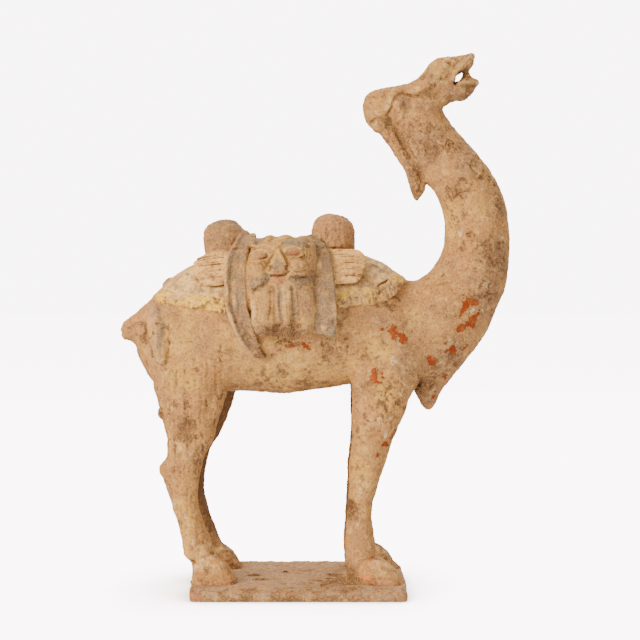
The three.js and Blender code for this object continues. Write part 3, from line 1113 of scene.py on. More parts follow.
@dataclass
class ClayPart:
    """A part that is modelled as one block of clay, then skinned, weathered and painted."""

    GRAINS: ClassVar[dict] = {2: (5.2, 0.24), 3: (2.7, 0.26), 4: (1.5, 0.22)}
    SHELTER: ClassVar[tuple] = (1.2, 2.6)
    SHARP: ClassVar[float] = math.radians(70)

    name: str
    low: Point
    high: Point
    step: float
    quick_step: float = 1.6
    band: float = 4.0
    seed: int = 11
    grain: float = 1.0
    wear: float = 0.6
    # How strongly sheltered hollows and pits are darkened, as painted shade and soil.
    hollow_shade_and_soil: float = 1.0
    patches: tuple[Patch, ...] = ()
    flakes: tuple[Flake, ...] = ()
    slips: tuple[Spot, ...] = ()
    soils: tuple[Spot, ...] = ()
    crusts: tuple[Spot, ...] = ()
    clay: Clay = field(init=False)

    def model(self) -> None:
        """Shape the block of clay. Each part has its own way."""

    def combing(self, points: Array, normals: Array) -> Array:
        """Give the height of combed lines at each point; none unless a part has them."""
        return np.zeros(len(points))

    def shade_and_grime(self, points: Array, normals: Array) -> Array:
        """Say how much more painted shade and soil lies at each point; none unless a part says."""
        return np.zeros(len(points))

    def covered(self, points: Array) -> Array:
        """Say how far each point is hidden inside another part, from 0 to 1; not at all here."""
        return np.zeros(len(points))

    def shape(self) -> None:
        """Make the block and shape it."""
        step = self.step
        self.clay = Clay(self.low, self.high, step, max(self.band, 3 * step))
        self.model()

    def weathering(self, points: Array, normals: Array) -> Array:
        """Work out how far the surface is worn in or stands out at each point.

        Args:
            points: places in millimetres.
            normals: which way the surface faces there.

        Returns:
            The heights in millimetres.
        """
        rough = smooth_steps(ClayNoise(self.seed).at(points, 21.0), -0.5, 0.5)
        height = 0.35 * ClayNoise(self.seed + 1).at(points, 11.0)
        grains = sum(
            tall * ClayNoise(self.seed + layer).at(points, wide)
            for layer, (wide, tall) in self.GRAINS.items()
        )
        height += self.grain * (0.85 + 0.5 * rough) * grains
        pits = smooth_steps(ClayNoise(self.seed + 6).layered(points, 4.2, 3), 0.6, 1.05)
        height -= 0.75 * self.grain * pits * rough
        crust = smooth_steps(spread_of(self.crusts, points, normals), 0.15, 0.7)
        cracks = np.clip(1 - np.abs(ClayNoise(self.seed + 8).layered(points, 7.0, 3)) / 0.16, 0, 1)
        height += crust * (0.3 + 0.9 * ClayNoise(self.seed + 7).layered(points, 3.6, 3))
        height -= cracks * (0.75 * crust + 0.3 * self.grain * rough)
        height += self.combing(points, normals)
        return height * (1 - self.covered(points))

    def skin(self, material: bpy.types.Material) -> bpy.types.Object:
        """Turn the clay into the finished piece.

        Args:
            material: its finish.

        Returns:
            The piece.
        """
        points, faces = self.clay.quads()
        rough = mesh_of(f"{self.name}_rough", points * METRES, faces)
        points, normals = points_of(rough)
        points += normals * self.weathering(points, normals)[:, None]
        self.settle(points)
        rough.vertices.foreach_set("co", (points * METRES).astype(np.float32).ravel())
        rough.update()
        thing = object_of(rough)
        triangles = 2 * len(rough.polygons)
        if triangles > FACE_LIMIT:
            thing.modifiers.new("thin", "DECIMATE").ratio = FACE_LIMIT / triangles
        mesh = settled(thing)
        bpy.data.objects.remove(thing)
        mesh.name = self.name
        mesh.shade_smooth()
        mesh.set_sharp_from_angle(angle=self.SHARP)
        self.paint(mesh)
        mesh.materials.clear()
        mesh.materials.append(material)
        return object_of(mesh)

    def settle(self, points: Array) -> None:
        """Correct the weathered points where they have to stay flat; nowhere unless a part says."""

    def paint(self, mesh: bpy.types.Mesh) -> None:
        """Write the colours and the fields that the finish reads.

        Args:
            mesh: the part's mesh.
        """
        points, normals = points_of(mesh)
        owners = self.clay.owners(points - normals * 0.7 * self.clay.step)
        palette = np.array([finish.colour for finish in Finish])
        colour = palette[owners]
        worn = smooth_steps(ClayNoise(self.seed + 10).layered(points, 6.5, 4), 0.15, 0.75)
        colour += (self.wear * worn * (owners > 0))[:, None] * (palette[0] - colour)
        ragged = 0.42 * ClayNoise(self.seed + 9).layered(points, 4.0, 3)
        for patch in self.patches:
            inside = spread_of(patch.spots, points, normals)
            share = smooth_steps(inside + ragged * (inside > 0), 0.5 - patch.edge, 0.5 + patch.edge)
            colour += share[:, None] * (np.array(patch.finish.colour) - colour)
        opaque = np.concatenate([colour, np.ones((len(colour), 1))], axis=1)
        pigment = mesh.attributes.new("pigment", "FLOAT_COLOR", "POINT")
        pigment.data.foreach_set("color", opaque.astype(np.float32).ravel())
        # Painted shade: hollow darkens what the clay shelters close by, and sunken pits, for the shade there
        # and the soil lodged in them.
        hollow = np.zeros(len(points))
        for reach in self.SHELTER:
            free = self.clay.sample(points + normals * reach)
            hollow += np.clip(1 - free / reach, 0, 1) / len(self.SHELTER)
        sunk = smooth_steps(-self.weathering(points, normals), 0.1, 0.9) * (1 - self.covered(points))
        hollow = self.hollow_shade_and_soil * np.clip(hollow + 0.6 * sunk, 0, 1)
        # The soil field adds each part's own darkening, which is mostly painted shade, to the soil spots and
        # crusts.
        soil = spread_of(self.soils, points, normals) + 0.6 * spread_of(self.crusts, points, normals)
        fields = {
            "hollow": hollow,
            "flake": spread_of(self.flakes, points, normals),
            "slip": spread_of(self.slips, points, normals),
            "soil": np.clip(soil + self.shade_and_grime(points, normals), 0, 2),
            "paint": (owners != Finish.CLAY.code).astype(float),
        }
        for name, values in fields.items():
            attribute = mesh.attributes.new(name, "FLOAT", "POINT")
            attribute.data.foreach_set("value", values.astype(np.float32))


BARREL: Rungs = (
    (-131, 214, -131, 190, 9), (-127.5, 222.5, -126.5, 180, 20), (-121, 229.5, -120, 169, 29),
    (-111, 239, -110, 160.5, 36), (-96, 252.3, -92.5, 156.5, 41), (-72, 263.5, -70, 158, 44.5),
    (-40, 268, -40, 158, 45.5), (-12, 270, -12, 156.5, 45.5), (16.5, 270, 16.5, 160, 44),
    (40.5, 268.5, 40.5, 164, 42), (65, 260.3, 65, 165.5, 39), (84, 248, 85, 166.5, 34),
    (103.5, 238, 103.5, 170.5, 26), (116.5, 226, 116.5, 181.5, 14),
)
NECK: Rungs = (
    (82, 396, 110, 402, 9), (74, 381, 113.5, 393, 13.5), (77, 366.5, 116.5, 381.5, 16),
    (84.5, 351, 125.5, 368.5, 18.5), (92, 338, 137, 356, 20), (100.5, 327, 146, 345.5, 21),
    (108.5, 318, 155, 332.5, 21.5), (115, 303.5, 164.5, 313, 22), (117, 286.5, 168.5, 291.5, 23),
    (114.5, 270, 168.8, 267, 25), (106.5, 256.5, 166, 243.5, 28), (95, 248, 158.5, 224.5, 31),
    (80, 240, 150.5, 206, 33), (66, 228, 138.5, 188.5, 33), (60, 210, 126.5, 174, 29),
    (68, 192, 118, 163.5, 19),
)
CUT_X = 47
CUT_Z = 285
OVERLAP = 2.5


def on_barrel(x: float, degrees: float) -> tuple[Array, Array]:
    """Find a place on the barrel's skin.

    Args:
        x: how far along the barrel.
        degrees: the angle from its ridge towards the far side.

    Returns:
        The point and which way the skin faces there.
    """
    rows = along(np.array(BARREL, float), np.linspace(0, 1, 400))
    middle = (rows[:, 0] + rows[:, 2]) / 2

    def point(at: float, turn: float) -> Array:
        """Read the skin at one place.

        Args:
            at: how far along the barrel.
            turn: the angle from its ridge.

        Returns:
            The point.
        """
        top, bottom, half = (np.interp(at, middle, rows[:, column]) for column in (1, 3, 4))
        angle = math.radians(turn)
        height = (top + bottom) / 2 + (top - bottom) / 2 * math.cos(angle)
        return np.array([at, half * math.sin(angle), height])

    round_it = point(x, degrees + 1) - point(x, degrees - 1)
    back = point(x - 1, degrees) - point(x + 1, degrees)
    out = np.cross(round_it, back)
    out /= np.linalg.norm(out)
    return point(x, degrees), -out if out[2] < 0 else out


@dataclass
class CamelBody(ClayPart):
    """The barrel, the legs with their feet, the chest and the tail."""

    leg_blend: float = 7.0
    sole: float = 8.0
    toe_spread: float = 7.4
    toe_half_width: float = 9.2
    foot_centre: float = 31.0
    thigh_lead: float = 4.5
    hind_leg: Rungs = (
        (-117, 205, -62, 200, 13, -22), (-118, 182, -54, 180, 17.5, -24),
        (-114.5, 163, -56, 162, 17.5, -26.5), (-108, 140, -63.5, 138, 15.5, -28),
        (-104, 121.5, -67.5, 122, 13.5, -28.5), (-104.5, 109, -74, 109.5, 12.5, -29),
        (-108.5, 97.5, -77.5, 98, 12, -29.5), (-104.5, 85, -79.5, 85, 10.5, -30),
        (-100.5, 72.5, -79.5, 72, 9.8, -30), (-96, 58, -76, 58.5, 9.8, -30),
        (-92.5, 45, -71, 46, 10.5, -30), (-90.5, 34, -67, 35, 12, -30), (-83, 22, -60, 22, 12, -31),
        (-83.4, 9, -62, 9, 12, -31),
    )
    fore_leg: Rungs = (
        (52, 215, 98, 215, 12, -19), (43, 190, 100, 190, 17, -21.5), (41.5, 170, 96, 170, 17.5, -24),
        (41.5, 155, 87.5, 155, 16.5, -26), (41.5, 143, 83.5, 143, 15.5, -27.5),
        (42, 131, 77.5, 131, 14.5, -28.5), (41.5, 117, 72, 117, 13.5, -29),
        (39.5, 102, 67.5, 102, 12.5, -29), (39, 84, 61.5, 84, 11.5, -30), (38, 65, 57, 65, 11, -30),
        (37, 49, 58.5, 49, 11.5, -30), (36, 36, 60, 37, 12.5, -30), (36.5, 23, 58, 23, 12, -31),
        (38, 9, 58, 9, 12, -31),
    )
    hind_toes: tuple[Rungs, ...] = (
        (
            (-83, 27, 0.7), (-77, 29.6, 0.95), (-66, 30.6, 1), (-60, 28, 1), (-56, 23.6, 0.9),
            (-52.4, 18.6, 0.75), (-49.6, 13.6, 0.45),
        ),
        (
            (-83, 25, 0.65), (-77, 29, 0.95), (-66, 28.6, 1), (-61.5, 26.6, 1), (-56.4, 22, 0.85),
            (-53, 17.6, 0.7), (-50, 12.5, 0.4),
        ),
    )
    fore_toes: tuple[Rungs, ...] = (
        (
            (44.5, 18, 0.6), (50, 25.5, 0.95), (58, 28.6, 1), (66, 28, 1), (72.5, 24.8, 0.95),
            (77.4, 19.6, 0.8), (80.6, 13.6, 0.5),
        ),
        (
            (40, 18, 0.65), (46, 26, 0.95), (60, 29.5, 1), (68, 26, 1), (73.5, 21, 0.85), (77, 15.4, 0.7),
            (79.6, 12, 0.4),
        ),
    )
    croup: Rungs = (
        (-109, 240.6, -109, 200, 30), (-113, 238.6, -112, 200, 29), (-117, 235, -116, 200, 27),
        (-122, 229.6, -121, 200, 23), (-128, 222, -126, 200, 16),
    )
    chest_tuft: Rungs = (
        (90, 172, 121, 172, 12), (91.2, 162, 116.6, 162, 10.5), (93.6, 155.5, 113.2, 155.5, 8.5),
        (97, 149.5, 110.4, 149.5, 6.5), (100, 145.6, 107.6, 145.4, 4),
        (102.4, 143.6, 105, 143.4, 1.5),
    )
    tail_knob: Rungs = (
        (-119, 228, -119, 194, 12, -4), (-128.5, 222.6, -128.5, 198, 12, -6),
        (-135.5, 218.2, -134.5, 199, 11.5, -7), (-140.2, 214.2, -139.4, 200, 9, -8),
        (-142.6, 210.6, -142.2, 202.6, 6, -8),
    )
    tail_strand: Path = (
        (-113, 223), (-111.8, 214), (-110.6, 205), (-109.4, 196), (-107.8, 188.6), (-107.2, 185),
    )

    def model(self) -> None:
        """Join the barrel, legs, feet, chest and tail, then cut in their details."""
        self.clay.add(Loft(BARREL))
        self.clay.add(Loft(NECK), blend=8)
        self.clay.add(Loft(self.chest_tuft), blend=4)
        for side in (NEAR, FAR):
            self.leg(self.hind_leg, side, self.thigh_lead if side == FAR else 0)
            self.leg(self.fore_leg, side, 0)
            self.foot(self.hind_toes, side)
            self.foot(self.fore_toes, side)
            for x, radii in ((60.5, (23, 20, 2.6)), (-66.5, (19.5, 20, 2.4))):
                self.clay.add(Ball((x, side * self.foot_centre, 10), radii), blend=3)
        self.clay.carve(Block((-400, -200, -60), (400, 200, self.sole)), 0.01)
        self.clay.add(Loft(self.tail_knob), blend=7)
        self.clay.add(Loft(self.croup), blend=2)
        self.clay.roll(self.tail_strand, 8.8, 4.4, Finish.HAIR, blend=1.6, taper=0.66)
        self.details()
        neck_above = Block((CUT_X, -200, CUT_Z + OVERLAP), (400, 200, 600))
        self.clay.carve(neck_above, 0.01)

    def leg(self, rungs: Rungs, side: int, lead: float) -> None:
        """Add one leg.

        Args:
            rungs: its rungs on the near side.
            side: NEAR or FAR.
            lead: how much thicker its thigh is in front.
        """
        thigh = [
            (xa, za, xb + lead * float(smooth_steps(np.array(zb), 112, 140)), zb, *rest)
            for xa, za, xb, zb, *rest in rungs
        ]
        self.clay.add(Loft(tuple(thigh), 0.92, mirrored=side == FAR), blend=self.leg_blend)

    def foot(self, profiles: tuple[Rungs, ...], side: int) -> None:
        """Add one foot of two toes.

        Args:
            profiles: rows of x, the toe's top there and its share of the full half width, for the
                full toe and for the lower ones.
            side: NEAR or FAR.
        """
        for toe in (-1, 1):
            full = side == NEAR and toe == -1
            middle = side * self.foot_centre + toe * self.toe_spread
            rungs = tuple(
                (x, top, x, 0, self.toe_half_width * share, middle)
                for x, top, share in profiles[0 if full else 1]
            )
            self.clay.add(Loft(rungs, 0.95, rings=30, sides=32), blend=1.8)

    def details(self) -> None:
        """Model the bones, creases, nails, lumps and chips."""
        clay = self.clay
        for side in (NEAR, FAR):
            clay.groove(((-104, 96), (-99, 84), (-95, 70), (-91, 55)), 3, 0.8, side, 2)
            clay.lump((-101, 99), (8, 5, 8), 1, side=side, blend=3)
            clay.lump((54, 118), (9, 5, 12), 0.8, side=side, blend=4)
            clay.groove(((-60, 176), (-64, 160), (-70, 146)), 4, 0.8, side, 3)
            clay.lump((-85.5, 33.5), (4.6, 7, 4.2), 0.8, side=side, blend=1.6)
            clay.dent((-84.4, 27.2), (4.2, 6, 1.6), 1.8, side=side)
        clay.groove(((46, 24), (50, 27.6), (56, 30), (62, 31.4)), 1.6, 0.8, blend=1.2)
        clay.groove(((-82, 29.6), (-76, 31.4), (-69, 32.6), (-64, 34.2)), 1.2, 0.9)
        clay.groove(((-57, 30), (-52, 24), (-49.4, 19)), 1.2, 0.6)
        clay.groove(((56, 14), (62, 16.5), (72, 16.4)), 1.2, 0.5)
        clay.groove(((105, 241.6), (110, 243.8), (115, 244.4), (121, 244.6)), 0.9, 1.1)
        clay.dent((124.7, 179.8), (1.6, 2.5, 1.9), 2.2)
        # Soil and painted shade: dark brown in the hollow under the chest tuft.
        clay.dent((93.6, 164.6), (3.2, 5, 3), 2.6, 0.9, finish=Finish.BROWN)
        clay.lump((-78.6, 150.9), (4.2, 3, 4.2), 1.5)
        clay.lump((-107.2, 144.5), (3, 4, 6.2), 1.6, Finish.BROWN, 0.2)
        clay.lump((79.5, 144.5), (3.4, 4, 3.6), 2)
        clay.lump((128, 276.5), (6, 4, 4.6), 1.4, lean=0.4)
        clay.groove(((123, 271.6), (128, 270.8), (133, 274.4)), 0.9, 1)
        clay.groove(((-101, 117), (-94, 112), (-86, 114)), 1, 0.8)
        crease = ((-131.5, 211.8), (-127, 213.4), (-123, 212.4), (-120.4, 208.5))
        clay.groove(crease, 1, 1.3, finish=Finish.MAUVE)
        # Painted shade: near black in the crack under the tail.
        clay.groove(((-121.6, 206), (-121, 202.6), (-119.8, 198)), 1.1, 2, finish=Finish.PIT)
        clay.groove(((-119.6, 212), (-118.8, 203), (-115.6, 194), (-112, 183.6), (-107, 180.6)), 1, 1.2)
        clay.groove(((-101.6, 214), (-101.4, 204), (-101, 194), (-102.4, 185), (-107, 180.6)), 1, 1)
        clay.carve(Ball((39, -36, 67.5), (5.8, 7, 8.2), 0.42), 0.5, Finish.BROWN)
        clay.groove(((143.5, 262), (138, 252), (128, 247)), 2.4, 0.5)
        clay.groove(((62, 227), (68, 227.6), (77, 230.6)), 1.6, 1.1)
        clay.groove(((-2, 199), (4, 192), (3, 184)), 1.4, 0.6)

    def shade_and_grime(self, points: Array, normals: Array) -> Array:
        """Paint shade between the legs, most on the inner faces of the far ones where the near legs' shadow
        falls, and on faces that look down high on the body; darken upward faces just above the soles.

        Args:
            points: places in millimetres.
            normals: which way the surface faces there.

        Returns:
            How much darker each point is painted, from 0 up.
        """
        # Painted shadow: the far legs' inner faces, and less the near legs' inner faces.
        inner = smooth_steps(points[:, 1], 2, 9) * smooth_steps(-normals[:, 1], -0.7, 0.1)
        near = smooth_steps(-points[:, 1], 10, 16) * smooth_steps(normals[:, 1], 0.1, 0.6)
        # Painted shade on faces that look down, above 120 mm.
        below = 0.15 * smooth_steps(-normals[:, 2], 0.5, 0.95) * (points[:, 2] > 120)
        high = 1 - smooth_steps(points[:, 2], 156, 170)
        inner *= 0.35 + 0.65 * smooth_steps(points[:, 2], 24, 60)
        # Darker upward faces just above the soles.
        base = 0.5 * (1 - smooth_steps(points[:, 2], 10, 14)) * smooth_steps(normals[:, 2], 0.2, 0.6)
        return np.maximum(1.8 * np.maximum(inner, 0.5 * near) * high, below + base)

    def combing(self, points: Array, normals: Array) -> Array:
        """Comb the thighs and the hind legs from top to bottom.

        Args:
            points: places in millimetres.
            normals: which way the surface faces there.

        Returns:
            The heights in millimetres.
        """
        lines = ClayNoise(61).at(points, (1.7, 2.2, 24.0))
        thigh = smooth_steps(-points[:, 0], 52, 62) * (1 - smooth_steps(points[:, 2], 182, 206))
        thigh *= smooth_steps(points[:, 2], 34, 60)
        strand = smooth_steps(-points[:, 0], 106, 110) * smooth_steps(points[:, 2], 181, 186)
        strand *= smooth_steps(-points[:, 1], 22, 27) * (1 - smooth_steps(points[:, 2], 220, 228))
        inner = smooth_steps(points[:, 1], 10, 18) * smooth_steps(-normals[:, 1], -0.2, 0.4)
        inner *= 1 - smooth_steps(points[:, 2], 150, 165)
        return (
            0.5 * lines * thigh
            + 0.3 * ClayNoise(62).at(points, (1.5, 1.8, 14.0)) * strand
            + 0.7 * ClayNoise(63).layered(points, 5.0, 4) * inner
        )


@dataclass
class CamelNeck(ClayPart):
    """The neck above the shoulders, with the head, the ears and the mane."""

    skull: Rungs = (
        (73, 401, 76, 373.5, 13), (86, 405, 90, 378, 15), (97, 412, 102, 383, 16),
        (104.5, 421.5, 113, 388, 15), (112, 426.2, 121, 394.5, 13.5),
        (121.5, 427.3, 127, 406, 12), (130, 428.2, 133.5, 413.5, 10.5),
        (136.5, 429.5, 137.5, 414.5, 8.5), (140.7, 429, 138.8, 415.5, 5),
    )
    jaw: Rungs = (
        (103.5, 401, 105, 380, 12), (113, 402.5, 115.5, 387, 12.5),
        (123, 404.5, 124.5, 391.5, 11.5), (131, 411, 132.5, 392.3, 10),
        (137, 414.5, 138.5, 397, 8), (141.5, 411, 141.8, 402, 6), (144.3, 408, 144, 405, 3.5),
    )
    poll: Rungs = (
        (50.8, 390, 50.8, 384, 3.5), (53.5, 396, 54, 374.5, 8.5), (60, 400.5, 61.5, 367, 12),
        (70, 402.5, 71, 365, 13.5), (84, 404, 81, 373.5, 13.5),
    )
    mane: Rungs = (
        (60, 375, 73, 372, 7), (64, 365.5, 79, 365, 8), (71, 356.5, 85, 356, 8),
        (77.5, 347, 91, 346, 8), (83.5, 337.5, 96, 336.5, 8), (87.5, 327.5, 100.5, 328.5, 7.5),
        (90, 318.5, 101.5, 321, 6.5), (92, 314, 98, 315.5, 4), (94, 312, 95.5, 312.5, 1.5),
    )
    ear_line: Path = (
        (98, 393.8), (92, 393.4), (86, 394.6), (81, 395), (77, 393), (74.4, 388.8), (73, 384.4),
        (69.4, 379),
    )
    ear_ridge: Path = (
        (100, 401.4), (91, 398.4), (83, 398.8), (76.4, 396.6), (72.2, 391.8), (70.2, 386.4),
        (67.6, 381.6), (63, 378.8), (57.4, 377.4),
    )
    knot_arc: Path = ((56.6, 372), (59.6, 375.4), (64, 376.2), (67.6, 374.6))

    def model(self) -> None:
        """Join the neck, head, jaw and mane, then cut in their details."""
        clay = self.clay
        clay.add(Loft(NECK))
        clay.add(Loft(self.skull, 0.88), blend=3.5)
        clay.add(Loft(self.jaw, 0.88), blend=3)
        clay.add(Loft(self.poll), blend=4)
        clay.add(Loft(self.mane), blend=2.5)
        for side in (NEAR, FAR):
            self.ear(side)
            self.face(side)
            self.strands(side)
        clay.carve(Ball((127.6, 0, 410.8), (5.4, 20, 2.5), -0.95), 0.5, Finish.ROSE)
        clay.carve(Ball((143, 0, 414.8), (7, 30, 6.2)), 0.8)
        # Painted shade: dark brown in the corners of the mouth.
        for side in (NEAR, FAR):
            clay.dent((132.2, 414.4), (3.2, 5, 2.3), 3.4, -0.7, side, 0.6, Finish.BROWN)
        clay.lump((133, 341.5), (6, 4, 6.5), 1.4, blend=3)
        clay.lump((142, 334), (4, 4, 6), 0.9, lean=0.6, blend=2.5)
        clay.lump((126, 315.5), (6.5, 4, 6.5), 1, blend=2.5)
        clay.dent((104.8, 349), (8, 7, 10), 1.8, 0.5, blend=4)
        clay.roll(((92, 366), (99, 361), (108, 357), (116, 351)), 3, 1, blend=4)
        clay.lump((153, 326), (4, 6, 4), 1.2, blend=2)
        clay.lump((162.5, 291), (3, 9, 5), 1.2, blend=2)
        clay.lump((140, 346.5), (3, 6, 3.4), 1, blend=2)
        neck_below = Block((-400, -200, 0), (400, 200, CUT_Z - OVERLAP))
        clay.carve(neck_below, 0.01)

    def ear(self, side: int) -> None:
        """Model one ear, laid back along the poll, and the knot of hair behind it.

        Args:
            side: NEAR or FAR.
        """
        clay = self.clay
        clay.add(Ball((80, side * 12.2, 391), (9.5, 6, 7), 0.75), blend=3)
        clay.roll(self.ear_ridge, 3.2, 2.2, side=side, blend=3, taper=0.75)
        clay.dent((84.5, 387.2), (7, 5, 6), 2.4, 0.3, side, 2)
        clay.lump((80.4, 388.6), (2.2, 3, 4.6), 1.2, lean=0.3, side=side, blend=1.4)
        clay.groove(self.ear_line, 1.1, 1.4, side, 0.7, taper=0.7)
        clay.groove(self.knot_arc, 1, 0.8, side, 0.8)
        # Painted shade: dark brown in the hollow beside the knot.
        clay.dent((70.8, 371.8), (3, 5, 4.8), 3, 0.35, side, 1.2, Finish.BROWN)
        clay.lump((63.4, 371.2), (4.9, 4, 4.5), 1.9, side=side, blend=1.2)
        clay.dent((63.6, 371.6), (2, 2, 1.8), 0.7, side=side, blend=1)
        clay.roll(((79, 383.4), (82.4, 379.6), (80, 375.4), (76.6, 374.6)), 1.6, 1.4, side=side, blend=1.4)
        clay.roll(((96, 398), (104.7, 405), (112, 412), (117, 418)), 3, 1.2, side=side, blend=4)
        clay.groove(((97, 394.8), (103, 397.6), (109, 402.4)), 1.4, 0.9, side, 1.6)
        clay.groove(((54.6, 391), (58, 394), (63, 393), (69, 394.6)), 1.1, 1, side)
        clay.groove(((54, 386), (57, 388.4), (61, 388)), 1.2, 0.7, side)

    def face(self, side: int) -> None:
        """Model the eye, the nostril and the lips on one side.

        Args:
            side: NEAR or FAR.
        """
        clay = self.clay
        clay.lump((115.4, 410.4), (4.4, 3, 2.8), 0.8, lean=-0.5, side=side, blend=1.6)
        clay.groove(((110.5, 408), (114.5, 406.8), (119, 411)), 0.8, 0.4, side)
        clay.groove(((110.5, 411.5), (114, 414.6), (118.8, 414.4)), 0.9, 0.4, side)
        clay.dent((121, 416.8), (5, 4, 3), 0.6, -0.6, side, 3)
        clay.groove(((115, 421.8), (120, 420.6), (126, 417.5)), 1.3, 0.9, side)
        # The lip rolls carry a painted highlight.
        lip = ((121.8, 407.6), (125.6, 414.6), (131.2, 420.6), (138, 427.2))
        clay.roll(lip, 2.5, 1.5, Finish.RIM, side, 2.2, 0.8)
        clay.groove(((125.2, 409.4), (129.4, 415.4), (134.2, 421.2), (138, 425)), 0.9, 0.8, side, 0.7)
        clay.roll(((126.4, 404.6), (134.2, 405.2), (141.6, 405.4)), 1.5, 1.2, Finish.RIM, side, 1.4, 0.8)
        clay.groove(((125.4, 402.4), (133, 402.6), (140.4, 403)), 1, 0.9, side)
        clay.dent((135.4, 410.2), (4.8, 3, 2.8), 1.3, 0.5, side, 1.4)
        # Painted shade: dark brown where the mouth opens under the upper lip.
        clay.dent((124.4, 405.2), (2, 4, 1.5), 3.4, -0.8, side, 0.5, Finish.BROWN)
        clay.groove(((108, 394), (114, 391), (121, 391)), 3, 0.7, side, 2.5)

    def strands(self, side: int) -> None:
        """Draw the locks of the mane and the folds of the throat on one side.

        Args:
            side: NEAR or FAR.
        """
        clay = self.clay
        lock = ((79.5, 364.2), (84.5, 355), (87.8, 348), (93.2, 342), (96.7, 334.3), (99, 325))
        clay.groove(lock, 2, 1.4, side, 2)
        clay.groove(((71, 366), (78, 354), (84, 342), (89, 331), (91.5, 322)), 1, 0.7, side)
        clay.groove(((90, 323), (93.4, 317.6), (96.6, 323.5)), 0.9, 1.3, side)
        clay.groove(((112, 352), (108, 343), (103, 336)), 3.5, 0.8, side, 3)

    def combing(self, points: Array, normals: Array) -> Array:
        """Draw fine hair down the mane.

        Args:
            points: places in millimetres.
            normals: which way the surface faces there; not used here.

        Returns:
            The heights in millimetres.
        """
        lean = points @ np.array([[0.9, 0, 0.45], [0, 1, 0], [-0.45, 0, 0.9]]).T
        mane = (1 - smooth_steps(points[:, 0] - (375 - points[:, 2]) * 0.53, 76, 82))
        mane *= 1 - smooth_steps(points[:, 2], 366, 374)
        return 0.16 * mane * ClayNoise(71).at(lean, (1.3, 1.6, 14.0))


